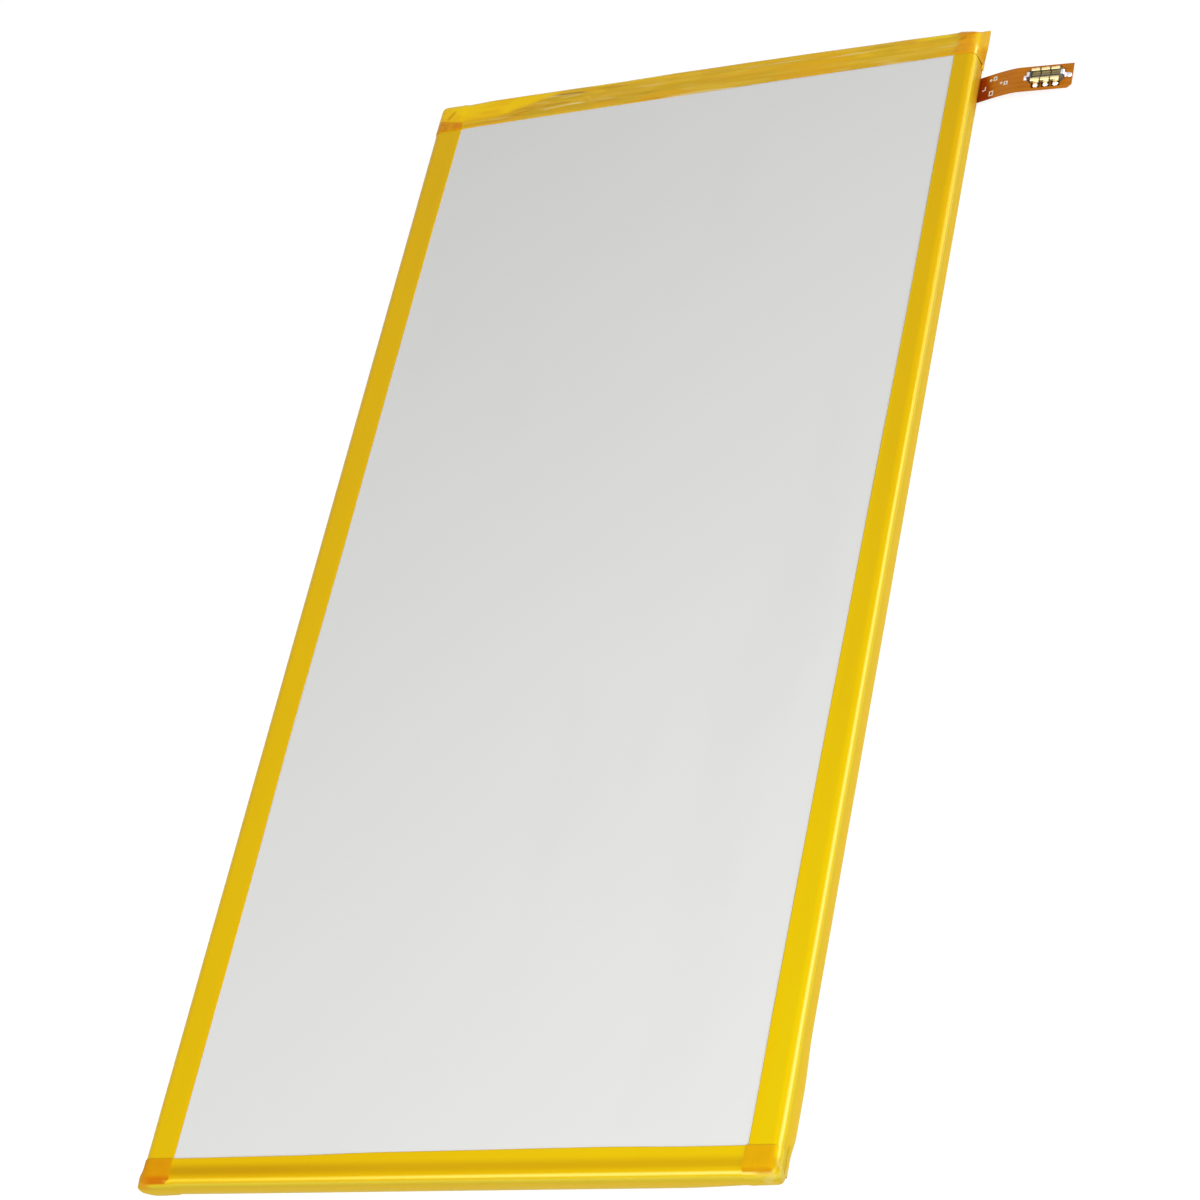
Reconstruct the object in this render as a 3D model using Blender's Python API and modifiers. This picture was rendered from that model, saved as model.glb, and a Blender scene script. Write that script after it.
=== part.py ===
"""Flat tablet battery pack: one pouch cell in amber film tape, with its protection
board on the cell's terrace and a flex tail that ends in a board-to-board plug.

Metres, +Z up. The pack lies on its back: +X is the side that the flex tail leaves,
+Y is the terrace end and +Z points out of the pale front face.
The origin is the centre of the pouch's flat back face.
"""
import math

import bmesh
import bpy
from mathutils import Matrix, Vector
from mathutils.geometry import interpolate_bezier, intersect_line_line_2d

MM = 0.001

# Pack
PACK_WIDTH = 70.0 * MM
PACK_LENGTH = 147.7 * MM
CELL_THICKNESS = 3.0 * MM
EDGE_RADIUS = 0.85 * MM
CORNER_RADIUS = 1.0 * MM
ROUND_SEGMENTS = 5
BEYOND = 5.0 * MM
WELD = 0.0001 * MM

# Film tape: the side tapes lie on the pouch and the end tapes lie over them
FILM = 0.06 * MM
GLUE = 0.02 * MM
SIDE_TAPE_WIDTH = 10.0 * MM
BOTTOM_TAPE_WIDTH = 10.0 * MM
TOP_TAPE_WIDTH = 12.0 * MM
LEFT_FLAP = 3.55 * MM
RIGHT_FLAP_TOP = 2.5 * MM
RIGHT_FLAP_BOTTOM = 3.4 * MM
BOTTOM_FLAP_LEFT = 2.7 * MM
BOTTOM_FLAP_RIGHT = 3.1 * MM
TOP_FLAP = 4.2 * MM
LEFT_TAPE_OVERLAP = 1.2 * MM
EAR_REACH = 1.15 * MM
EAR_RUN = 3.3 * MM
EAR_RADIUS = 0.9 * MM
EAR_HEIGHT = 0.9 * MM
FLAG_REACH = 0.85 * MM
FLAG_RUN = 4.0 * MM
FLAG_RADIUS = 0.15 * MM
FLAG_HEIGHT = 2.0 * MM

# Pouch
CUP_RADIUS = 0.55 * MM
MARGIN_PRESS = 0.03 * MM
BARE_FACE_GAP = 0.05 * MM
LAMINATE_SEAL = 0.22 * MM
SEAL_LIFT = 0.02 * MM
SEAL_FOLD = 0.44 * MM
SEAL_FOLD_HEIGHT = 2.0 * MM
SEAL_FOLD_SLIT = 0.08 * MM
TOP_FLAP_LAP = 0.45 * MM
TERRACE_DEPTH = 1.9 * MM
TERRACE_SIDE_MARGIN = 0.7 * MM
TERRACE_CHAMFER = 0.8 * MM

# Cell tabs and their leads
TAB_THICKNESS = 0.1 * MM
TAB_WIDTH = 4.0 * MM
TAB_RUN = 1.6 * MM
TAB_POSITIVE_INSET = 7.0 * MM
TAB_NEGATIVE_INSET = 22.0 * MM
TAB_SEAL_WIDTH = 5.6 * MM
TAB_SEAL_THICKNESS = 0.3 * MM
TAB_SEAL_DEPTH = 0.5 * MM
LEAD_WIDTH = 3.2 * MM
LEAD_THICKNESS = 0.1 * MM
STACK_GAP = 0.03 * MM
INSULATOR_THICKNESS = 0.12 * MM

# Protection board
BOARD_THICKNESS = 0.6 * MM
BOARD_WIDTH = 2.0 * MM
BOARD_LEFT_MARGIN = 14.0 * MM
BOARD_RIGHT_MARGIN = 1.0 * MM
BOARD_CHAMFER = 0.3 * MM
COVER_THICKNESS = 0.4 * MM
COVER_CLEARANCE = 0.12 * MM
CHIP_BEVEL_SHARE = 0.08
CHIP_LEAD_REACH_SHARE = 0.12
CHIP_LEAD_WIDTH_SHARE = 0.4
CHIP_LEAD_BOTTOM_SHARE = 0.02
CHIP_LEAD_TOP_SHARE = 0.35

# Flex tail
FLEX_THICKNESS = 0.12 * MM
FLEX_LEG_WIDTH = 2.6 * MM
FLEX_LEG_MARGIN = 1.1 * MM
FLEX_ROOT = 1.6 * MM
FLEX_TAIL_WIDTH = 3.7 * MM
FLEX_TAIL_DROP = 5.75 * MM
FLEX_TAIL_REACH = 11.35 * MM
FLEX_PAD_LENGTH = 6.2 * MM
FLEX_PAD_HEIGHT = 1.0 * MM
FLEX_PAD_SLOPE = math.radians(3.8)
FLEX_EXIT_SOFTNESS = 0.35 * MM
FLEX_PAD_SOFTNESS = 1.75 * MM
FLEX_CHAMFER = 0.5 * MM
FLEX_BEND_STEPS = 10
FLEX_TAIL_STEPS = 18
EXIT_CLEARANCE = 0.15 * MM
EXIT_HEIGHT = 0.3 * MM
STIFFENER_THICKNESS = 0.1 * MM
STIFFENER_INSET = 0.25 * MM

# Board-to-board plug on the flex tail
PLUG_LENGTH = 4.2 * MM
PLUG_WIDTH = 1.7 * MM
PLUG_HEIGHT = 0.55 * MM
PLUG_FLOOR = 0.15 * MM
PLUG_WALL = 0.2 * MM
PLUG_END_WALL = 0.4 * MM
PLUG_CORNER = 0.35 * MM
PLUG_FROM_END = 3.05 * MM
CONTACTS_PER_ROW = 3
CONTACT_PITCH = 1.165 * MM
CONTACT_WIDTH = 0.99 * MM
CONTACT_TAIL = 0.55 * MM
CONTACT_THICKNESS = 0.1 * MM
CONTACT_LAP = 0.5 * MM
HOLD_DOWN_WIDTH = 0.7 * MM
HOLD_DOWN_TAIL = 0.5 * MM
HOLD_DOWN_CAP = 0.34 * MM
BEND_RADIUS = 0.1 * MM
SEAT_GAP = 0.02 * MM

# Worked out from the sizes above
LAYER = FILM + GLUE
FORM_X = PACK_WIDTH / 2 - LAYER
FORM_Y = PACK_LENGTH / 2 - 2 * LAYER
FORM_BOTTOM = MARGIN_PRESS
FORM_TOP = CELL_THICKNESS - MARGIN_PRESS
FORM_MIDDLE = CELL_THICKNESS / 2
BODY_X = FORM_X - GLUE - SEAL_FOLD - SEAL_FOLD_SLIT
BODY_BOTTOM = EDGE_RADIUS - CUP_RADIUS - FORM_Y
BODY_END = PACK_LENGTH / 2 - TOP_FLAP + TOP_FLAP_LAP + CUP_RADIUS
TERRACE_END = BODY_END + TERRACE_DEPTH
SEAL_Z = FORM_BOTTOM + SEAL_LIFT
INSULATOR_Z = SEAL_Z + LAMINATE_SEAL + STACK_GAP
TAB_Z = INSULATOR_Z + INSULATOR_THICKNESS + STACK_GAP + TAB_THICKNESS / 2
LEAD_Z = TAB_Z + TAB_THICKNESS / 2 + STACK_GAP + LEAD_THICKNESS / 2
BOARD_Z = LEAD_Z + LEAD_THICKNESS / 2 + STACK_GAP
BOARD_TOP = BOARD_Z + BOARD_THICKNESS
BOARD_LEFT = BOARD_LEFT_MARGIN - PACK_WIDTH / 2
BOARD_RIGHT = PACK_WIDTH / 2 - BOARD_RIGHT_MARGIN
BOARD_BACK = BODY_END + COVER_CLEARANCE
BOARD_FRONT = BOARD_BACK + BOARD_WIDTH
FLEX_BACK_Z = FORM_BOTTOM - SEAT_GAP - FLEX_THICKNESS / 2
FLEX_ROOT_Z = BOARD_TOP + SEAT_GAP + FLEX_THICKNESS / 2
FLEX_CURL = (FLEX_ROOT_Z - FLEX_BACK_Z) / 2
FLEX_CURL_END = BOARD_FRONT + FLEX_CURL + FLEX_THICKNESS / 2
FLEX_LEG_RIGHT = PACK_WIDTH / 2 - FLEX_LEG_MARGIN
FLEX_LEG_LEFT = FLEX_LEG_RIGHT - FLEX_LEG_WIDTH
FLEX_TAIL_TOP = PACK_LENGTH / 2 - FLEX_TAIL_DROP
FLEX_TAIL_BOTTOM = FLEX_TAIL_TOP - FLEX_TAIL_WIDTH

# Colours and finishes: base colour, metallic, roughness
FINISHES = {
    "pouch_laminate": ((0.66, 0.66, 0.65), 0.0, 0.45),
    "amber_film": ((0.78, 0.47, 0.01), 0.0, 0.3),
    "solder_mask": ((0.02, 0.12, 0.05), 0.0, 0.4),
    "black_epoxy": ((0.02, 0.02, 0.02), 0.0, 0.5),
    "ceramic_chip": ((0.45, 0.36, 0.25), 0.0, 0.5),
    "tab_metal": ((0.75, 0.75, 0.76), 1.0, 0.35),
    "tab_film": ((0.75, 0.75, 0.7), 0.0, 0.5),
    "fibre_paper": ((0.35, 0.33, 0.28), 0.0, 0.8),
    "flex_film": ((0.51, 0.14, 0.01), 0.0, 0.35),
    "plug_plastic": ((0.25, 0.22, 0.17), 0.0, 0.5),
    "gold_plate": ((0.83, 0.6, 0.24), 1.0, 0.25),
    "silver_plate": ((0.8, 0.8, 0.82), 1.0, 0.25),
}


def clear_scene():
    for obj in list(bpy.data.objects):
        bpy.data.objects.remove(obj)


def make_collection(name):
    collection = bpy.data.collections.new(name)
    bpy.context.scene.collection.children.link(collection)
    return collection


def make_material(name):
    colour, metallic, roughness = FINISHES[name]
    material = bpy.data.materials.new(name)
    material.use_nodes = True
    shader = material.node_tree.nodes["Principled BSDF"]
    shader.inputs["Base Color"].default_value = (*colour, 1.0)
    shader.inputs["Metallic"].default_value = metallic
    shader.inputs["Roughness"].default_value = roughness
    material.diffuse_color = (*colour, 1.0)
    return material


def add_part(name, mesh, finish, parent=None):
    obj = bpy.data.objects.new(name, mesh)
    obj.parent = parent
    mesh.materials.clear()
    mesh.materials.append(MATERIALS[finish])
    PARTS.objects.link(obj)
    return obj


def add_cutter(name, mesh):
    obj = bpy.data.objects.new(name, mesh)
    obj.hide_render = True
    obj.display_type = "WIRE"
    CUTTERS.objects.link(obj)
    return obj


def combine(target, tool, operation):
    modifier = target.modifiers.new(tool.name, "BOOLEAN")
    modifier.operation = operation
    modifier.solver = "EXACT"
    modifier.object = tool


def to_mesh(bm, name):
    mesh = bpy.data.meshes.new(name)
    bmesh.ops.recalc_face_normals(bm, faces=bm.faces)
    bm.to_mesh(mesh)
    bm.free()
    return mesh


def cube(low, high):
    """A bmesh block between two corners."""
    low = Vector(low)
    high = Vector(high)
    size = high - low
    bm = bmesh.new()
    bmesh.ops.create_cube(bm, size=1.0)
    bmesh.ops.transform(bm, matrix=Matrix.Diagonal((*size, 1.0)), verts=bm.verts)
    bmesh.ops.translate(bm, vec=(low + high) / 2, verts=bm.verts)
    return bm


def block(name, low, high):
    return to_mesh(cube(low, high), name)


def bevel(bm, edges, radius, segments):
    bmesh.ops.bevel(
        bm,
        geom=edges,
        offset=radius,
        segments=segments,
        profile=0.5,
        affect="EDGES",
        clamp_overlap=False,
    )


def is_upright(edge):
    direction = edge.verts[0].co - edge.verts[1].co
    return abs(direction.z) > 0.9 * direction.length


def rounded_slab(name, low, high, corner_radius, edge_radius):
    """A block with round corners in plan and round edges all along both faces."""
    bm = cube(low, high)
    bevel(bm, [e for e in bm.edges if is_upright(e)], corner_radius, ROUND_SEGMENTS)
    bevel(bm, [e for e in bm.edges if not is_upright(e)], edge_radius, ROUND_SEGMENTS)
    mesh = to_mesh(bm, name)
    mesh.shade_smooth()
    mesh.set_sharp_from_angle(angle=math.radians(40))
    return mesh


def chamfered_block(name, low, high, chamfer, upright_only=False):
    bm = cube(low, high)
    edges = [e for e in bm.edges if is_upright(e) or not upright_only]
    bevel(bm, edges, chamfer, 1)
    return to_mesh(bm, name)


def arc(centre, radius, start, end, segments=ROUND_SEGMENTS):
    """Points on a round stretch of an outline; angles in degrees."""
    angles = [math.radians(start + (end - start) * i / segments) for i in range(segments + 1)]
    return [(centre[0] + radius * math.cos(a), centre[1] + radius * math.sin(a)) for a in angles]


def extruded_outline(name, outline, thickness):
    """A closed plan outline as a flat plate, centred on z = 0."""
    curve = bpy.data.curves.new(name, "CURVE")
    curve.dimensions = "2D"
    curve.fill_mode = "BOTH"
    curve.extrude = thickness / 2
    spline = curve.splines.new("POLY")
    spline.points.add(len(outline) - 1)
    for point, (x, y) in zip(spline.points, outline):
        point.co = (x, y, 0.0, 1.0)
    spline.use_cyclic_u = True
    holder = bpy.data.objects.new(name, curve)
    CUTTERS.objects.link(holder)
    bpy.context.view_layer.update()
    evaluated = holder.evaluated_get(bpy.context.evaluated_depsgraph_get())
    bm = bmesh.new()
    bm.from_mesh(bpy.data.meshes.new_from_object(evaluated))
    bpy.data.objects.remove(holder)
    bmesh.ops.remove_doubles(bm, verts=bm.verts, dist=WELD)
    return to_mesh(bm, name)


def bent_strip(name, path, width, thickness, finish, parent=None):
    """A formed strip: a path in the strip's own Y-Z plane, as wide along X as given."""
    bm = bmesh.new()
    start = bm.verts.new((-width / 2, *path[0]))
    end = bm.verts.new((width / 2, *path[0]))
    edge = bm.edges.new((start, end))
    extrude_edge(bm, edge, [Vector((0.0, *point)) for point in path])
    strip = add_part(name, to_mesh(bm, name), finish, parent)
    thicken(strip, thickness)
    return strip


def extrude_edge(bm, edge, route):
    """Sweep an edge through the steps of a route, and return the last edge."""
    for here, there in zip(route, route[1:]):
        swept = bmesh.ops.extrude_edge_only(bm, edges=[edge])["geom"]
        verts = [item for item in swept if isinstance(item, bmesh.types.BMVert)]
        bmesh.ops.translate(bm, vec=there - here, verts=verts)
        edge = bm.edges.get(verts)
    return edge


def thicken(obj, thickness):
    solidify = obj.modifiers.new("thickness", "SOLIDIFY")
    solidify.thickness = thickness
    solidify.offset = 0.0
    solidify.use_even_offset = True


def rounded_path(corners, radius, segments=3):
    """A polyline whose inner corners are turned on the given radius."""
    path = [corners[0]]
    for before, corner, after in zip(corners, corners[1:], corners[2:]):
        corner = Vector(corner)
        back = (Vector(before) - corner).normalized()
        ahead = (Vector(after) - corner).normalized()
        half = back.angle(ahead) / 2
        reach = radius / math.tan(half)
        start = corner + back * reach
        end = corner + ahead * reach
        handle = 4 / 3 * math.tan((math.pi - 2 * half) / 4) * radius
        bend = interpolate_bezier(
            start.to_3d(),
            (start - back * handle).to_3d(),
            (end - ahead * handle).to_3d(),
            end.to_3d(),
            segments + 1,
        )
        path.extend((point.x, point.y) for point in bend)
    path.append(corners[-1])
    return path


def build_pouch_cell():
    """The sealed pouch: body, folded side seals and the terrace, all one piece."""
    body = rounded_slab(
        "pouch_cell",
        (-BODY_X, BODY_BOTTOM, FORM_BOTTOM),
        (BODY_X, BODY_END, FORM_TOP),
        CORNER_RADIUS,
        CUP_RADIUS,
    )
    cell = add_part("pouch_cell", body, "pouch_laminate")
    for side in (-1, 1):
        combine(cell, folded_seal(side), "UNION")
    terrace = chamfered_block(
        "terrace",
        (-BODY_X + TERRACE_SIDE_MARGIN, BODY_END - 2 * CUP_RADIUS, SEAL_Z),
        (BODY_X - TERRACE_SIDE_MARGIN, TERRACE_END, SEAL_Z + LAMINATE_SEAL),
        TERRACE_CHAMFER,
        upright_only=True,
    )
    combine(cell, add_cutter("terrace", terrace), "UNION")
    for name, edges, side in (("bare_front", front_edges(), 1), ("bare_back", back_edges(), -1)):
        combine(cell, bare_face(name, edges, side), "UNION")


def bare_face(name, edges, side):
    """The middle of a face, which stands proud of the margins that the tapes press down."""
    left, top, right, bottom = edges
    corners = [
        intersect_line_line_2d(*left, *bottom),
        intersect_line_line_2d(*left, *top),
        intersect_line_line_2d(*right, *top),
        intersect_line_line_2d(*right, *bottom),
    ]
    inset = [
        (
            corner.x - math.copysign(BARE_FACE_GAP, corner.x),
            min(corner.y - math.copysign(BARE_FACE_GAP, corner.y), BODY_END - CUP_RADIUS),
        )
        for corner in corners
    ]
    mesh = extruded_outline(name, inset, FORM_MIDDLE)
    mesh.transform(Matrix.Translation((0.0, 0.0, FORM_MIDDLE + side * FORM_MIDDLE / 2)))
    return add_cutter(name, mesh)


def folded_seal(side):
    """A side seal, turned up against the body and standing off it by a slit."""
    outer = FORM_X - GLUE
    inner = outer - SEAL_FOLD
    root = BODY_X - 2 * CUP_RADIUS
    tip = SEAL_FOLD / 2
    radius = EDGE_RADIUS - SEAL_LIFT
    outline = [(root, SEAL_Z)]
    outline += arc((outer - radius, SEAL_Z + radius), radius, -90, 0)
    outline += arc((outer - tip, SEAL_FOLD_HEIGHT - tip), tip, 0, 180)
    outline += [(inner, SEAL_Z + LAMINATE_SEAL), (root, SEAL_Z + LAMINATE_SEAL)]
    length = BODY_END + FORM_Y - 2 * EDGE_RADIUS
    name = "folded_seal_right" if side > 0 else "folded_seal_left"
    mesh = extruded_outline(name, [(side * x, z) for x, z in outline], length)
    mesh.transform(Matrix.Rotation(math.pi / 2, 4, "X"))
    mesh.transform(Matrix.Translation((0.0, (BODY_END - FORM_Y) / 2, 0.0)))
    return add_cutter(name, mesh)


def tape_form(name, distance):
    """What a tape wraps: the pack's form, let out by a distance."""
    return rounded_slab(
        name,
        (-FORM_X - distance, -FORM_Y - distance, FORM_BOTTOM - distance),
        (FORM_X + distance, FORM_Y + distance, FORM_TOP + distance),
        CORNER_RADIUS + distance,
        EDGE_RADIUS + distance,
    )


def leg_form(name, distance):
    """The room that the flex leg takes between the pouch's back and the tape."""
    low = Vector((FLEX_LEG_LEFT, FLEX_TAIL_BOTTOM, FLEX_BACK_Z - FLEX_THICKNESS / 2))
    high = Vector((FLEX_LEG_RIGHT, FLEX_CURL_END, EDGE_RADIUS))
    reach = Vector((distance, distance, distance))
    return add_cutter(name, block(name, low - reach, high + reach))


def pinched_end(name, side, end, reach, run, radius, height):
    """A wedge off a corner of the pack: a tape's end, stuck to itself along its rim.

    side and end are -1 or 1 and choose the corner.
    """
    near = Vector((PACK_WIDTH / 2 - CORNER_RADIUS, PACK_LENGTH / 2 - run))
    far = Vector((PACK_WIDTH / 2, PACK_LENGTH / 2))
    rim = arc((far.x + reach - radius, far.y - radius), radius, 0, 90)
    points = [(x, y, height + dz) for x, y in rim for dz in (-FILM, FILM)]
    root = (near, (near.x, far.y), (far.x, near.y))
    points += [(x, y, z) for x, y in root for z in (EDGE_RADIUS, CELL_THICKNESS - EDGE_RADIUS)]
    bm = bmesh.new()
    for x, y, z in points:
        bm.verts.new((side * x, end * y, z))
    bmesh.ops.convex_hull(bm, input=bm.verts)
    return add_cutter(name, to_mesh(bm, name))


def tape(name, layer, front_window, back_window, loose_end=None, over_leg=False):
    """A film wrapped round an edge: a thin shell with all but its band cut away."""
    inner_distance = GLUE + layer * LAYER
    outer_distance = inner_distance + FILM
    film = add_part(name, tape_form(name, outer_distance), "amber_film")
    hollow = add_cutter(name + "_hollow", tape_form(name, inner_distance))
    if loose_end:
        combine(film, loose_end, "UNION")
    if over_leg:
        combine(film, leg_form(name + "_leg_outer", outer_distance), "UNION")
        combine(hollow, leg_form(name + "_leg_inner", inner_distance), "UNION")
    combine(film, hollow, "DIFFERENCE")
    combine(film, window(name + "_front", front_window, 1), "DIFFERENCE")
    combine(film, window(name + "_back", back_window, -1), "DIFFERENCE")
    return film


def window(name, outline, side):
    """A prism over a plan outline, on the front (1) or back (-1) half of the pack."""
    height = FORM_MIDDLE + BEYOND
    mesh = extruded_outline(name, outline, height)
    mesh.transform(Matrix.Translation((0.0, 0.0, FORM_MIDDLE + side * height / 2)))
    return add_cutter(name, mesh)


def line_up(x_bottom, x_top):
    """A line up the pack, from well below it to well above it."""
    rise = Vector((x_top - x_bottom, PACK_LENGTH)) / PACK_LENGTH
    start = Vector((x_bottom, -PACK_LENGTH / 2))
    return start - rise * BEYOND, start + rise * (PACK_LENGTH + BEYOND)


def line_across(y_left, y_right):
    """A line across the pack, from well left of it to well right of it."""
    run = Vector((PACK_WIDTH, y_right - y_left)) / PACK_WIDTH
    start = Vector((-PACK_WIDTH / 2, y_left))
    return start - run * BEYOND, start + run * (PACK_WIDTH + BEYOND)


def past(line, x, y):
    """The outline of all that lies past a line, towards +-X or +-Y."""
    away = Vector((x, y)) * (PACK_LENGTH + BEYOND)
    return [line[0], line[1], line[1] + away, line[0] + away]


def front_edges():
    """The tapes' edges on the front: left, top, right and bottom."""
    side = PACK_WIDTH / 2
    end = PACK_LENGTH / 2
    return (
        line_up(LEFT_FLAP - side, LEFT_FLAP - side),
        line_across(end - TOP_FLAP, end - TOP_FLAP),
        line_up(side - RIGHT_FLAP_BOTTOM, side - RIGHT_FLAP_TOP),
        line_across(BOTTOM_FLAP_LEFT - end, BOTTOM_FLAP_RIGHT - end),
    )


def back_edges():
    """The tapes' edges on the back, from what the front and the edge leave of their widths."""
    side = PACK_WIDTH / 2
    end = PACK_LENGTH / 2
    left = back_flap(SIDE_TAPE_WIDTH, LEFT_FLAP) - side
    top = end - back_flap(TOP_TAPE_WIDTH, TOP_FLAP)
    right_bottom = side - back_flap(SIDE_TAPE_WIDTH, RIGHT_FLAP_BOTTOM)
    right_top = side - back_flap(SIDE_TAPE_WIDTH, RIGHT_FLAP_TOP)
    bottom_left = back_flap(BOTTOM_TAPE_WIDTH, BOTTOM_FLAP_LEFT) - end
    bottom_right = back_flap(BOTTOM_TAPE_WIDTH, BOTTOM_FLAP_RIGHT) - end
    return (
        line_up(left, left),
        line_across(top, top),
        line_up(right_bottom, right_top),
        line_across(bottom_left, bottom_right),
    )


def back_flap(tape_width, front_flap):
    return tape_width - front_flap - CELL_THICKNESS


def build_side_tapes():
    front_left, _, front_right, _ = front_edges()
    back_left, _, back_right, _ = back_edges()
    left = tape("tape_left", 0, past(front_left, 1, 0), past(back_left, 1, 0))
    left_end = PACK_LENGTH / 2 - TOP_FLAP + LEFT_TAPE_OVERLAP
    trimmed = past(line_across(left_end, left_end), 0, 1)
    for name, side in (("tape_left_end_front", 1), ("tape_left_end_back", -1)):
        combine(left, window(name, trimmed, side), "DIFFERENCE")
    right = tape(
        "tape_right",
        0,
        past(front_right, -1, 0),
        past(back_right, -1, 0),
        over_leg=True,
    )
    slot = block(
        "flex_exit",
        (FLEX_LEG_RIGHT - EXIT_CLEARANCE, FLEX_TAIL_BOTTOM - EXIT_CLEARANCE, -BEYOND),
        (PACK_WIDTH / 2 + BEYOND, FLEX_TAIL_TOP + EXIT_CLEARANCE, EXIT_HEIGHT),
    )
    combine(right, add_cutter("flex_exit", slot), "DIFFERENCE")


def build_end_tapes():
    _, front_top, _, front_bottom = front_edges()
    _, back_top, _, back_bottom = back_edges()
    tape(
        "tape_bottom",
        1,
        past(front_bottom, 0, 1),
        past(back_bottom, 0, 1),
        pinched_end("ear", -1, -1, EAR_REACH, EAR_RUN, EAR_RADIUS, EAR_HEIGHT),
    )
    tape(
        "tape_top",
        1,
        past(front_top, 0, -1),
        past(back_top, 0, -1),
        pinched_end("flag", 1, 1, FLAG_REACH, FLAG_RUN, FLAG_RADIUS, FLAG_HEIGHT),
        over_leg=True,
    )


def build_tab(name, x):
    """A cell tab: out of the terrace's end, turned back under the board."""
    exit_z = SEAL_Z + LAMINATE_SEAL / 2
    turn = (TAB_Z - exit_z) / 2
    straight = TERRACE_END + SEAT_GAP + TAB_SEAL_DEPTH
    path = [(TERRACE_END + SEAT_GAP, exit_z)]
    path += arc((straight, exit_z + turn), turn, -90, 90, 2 * ROUND_SEGMENTS)
    path.append((straight - TAB_RUN, TAB_Z))
    tab = bent_strip(name, path, TAB_WIDTH, TAB_THICKNESS, "tab_metal")
    tab.location.x = x


def build_tab_seal(name, x):
    """The sealing film that brackets a tab where it leaves the terrace."""
    middle = SEAL_Z + LAMINATE_SEAL / 2
    near = TERRACE_END + SEAT_GAP
    far = near + TAB_SEAL_DEPTH - SEAT_GAP
    half_height = min(TAB_SEAL_THICKNESS / 2, INSULATOR_Z - STACK_GAP - middle)
    film = block(
        name,
        (-TAB_SEAL_WIDTH / 2, near, middle - half_height),
        (TAB_SEAL_WIDTH / 2, far, middle + half_height),
    )
    seal = add_part(name, film, "tab_film")
    seal.location.x = x
    half_width = TAB_WIDTH / 2 + SEAT_GAP
    half_slot = TAB_THICKNESS / 2 + SEAT_GAP
    slot = block(
        name + "_slot",
        (-half_width, near - BEYOND, middle - half_slot),
        (half_width, far + BEYOND, middle + half_slot),
    )
    cutter = add_cutter(name + "_slot", slot)
    cutter.location.x = x
    combine(seal, cutter, "DIFFERENCE")


def build_lead(name, x):
    """A nickel strip between a tab and the board's underside."""
    straight = TERRACE_END + SEAT_GAP + TAB_SEAL_DEPTH
    lead = block(
        name,
        (-LEAD_WIDTH / 2, straight - TAB_RUN, LEAD_Z - LEAD_THICKNESS / 2),
        (LEAD_WIDTH / 2, BOARD_FRONT, LEAD_Z + LEAD_THICKNESS / 2),
    )
    add_part(name, lead, "tab_metal").location.x = x


def build_tabs():
    positive_x = BOARD_LEFT + TAB_POSITIVE_INSET
    negative_x = BOARD_RIGHT - TAB_NEGATIVE_INSET
    for polarity, x in (("positive", positive_x), ("negative", negative_x)):
        build_tab("cell_tab_" + polarity, x)
        build_tab_seal("tab_seal_" + polarity, x)
        build_lead("nickel_lead_" + polarity, x)


def build_insulation():
    """Fibre paper under the tabs, and a pad over the board's components."""
    paper = block(
        "terrace_insulator",
        (BOARD_LEFT, BOARD_BACK, INSULATOR_Z),
        (FLEX_LEG_LEFT, TERRACE_END, INSULATOR_Z + INSULATOR_THICKNESS),
    )
    add_part("terrace_insulator", paper, "fibre_paper")
    top = CELL_THICKNESS - COVER_CLEARANCE
    pad = block(
        "board_cover",
        (BOARD_LEFT, BOARD_BACK, top - COVER_THICKNESS),
        (BOARD_RIGHT, BOARD_FRONT, top),
    )
    add_part("board_cover", pad, "fibre_paper")


def build_board():
    board = chamfered_block(
        "protection_board",
        (BOARD_LEFT, BOARD_BACK, BOARD_Z),
        (BOARD_RIGHT, BOARD_FRONT, BOARD_TOP),
        BOARD_CHAMFER,
        upright_only=True,
    )
    add_part("protection_board", board, "solder_mask")


def build_chip(name, x, length, width, height, leads, finish):
    """A packaged component on the board: a bevelled body with its leads or end caps."""
    middle = (BOARD_BACK + BOARD_FRONT) / 2
    bottom = BOARD_TOP + SEAT_GAP
    body = chamfered_block(
        name,
        (-length / 2, -width / 2, 0.0),
        (length / 2, width / 2, height),
        CHIP_BEVEL_SHARE * height,
    )
    chip = add_part(name, body, finish)
    chip.location = (x, middle, bottom)
    lead_pitch = length / max(leads, 1)
    half_lead = lead_pitch * CHIP_LEAD_WIDTH_SHARE / 2
    lead_end = width / 2 + width * CHIP_LEAD_REACH_SHARE
    lead_bottom = height * CHIP_LEAD_BOTTOM_SHARE
    lead_top = height * CHIP_LEAD_TOP_SHARE
    for index in range(leads):
        lead_x = lead_pitch * (index + 0.5) - length / 2
        lead = block(
            f"{name}_lead_{index + 1}",
            (lead_x - half_lead, -lead_end, lead_bottom),
            (lead_x + half_lead, lead_end, lead_top),
        )
        tool = add_cutter(f"{name}_lead_{index + 1}", lead)
        tool.location = chip.location
        combine(chip, tool, "UNION")


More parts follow.
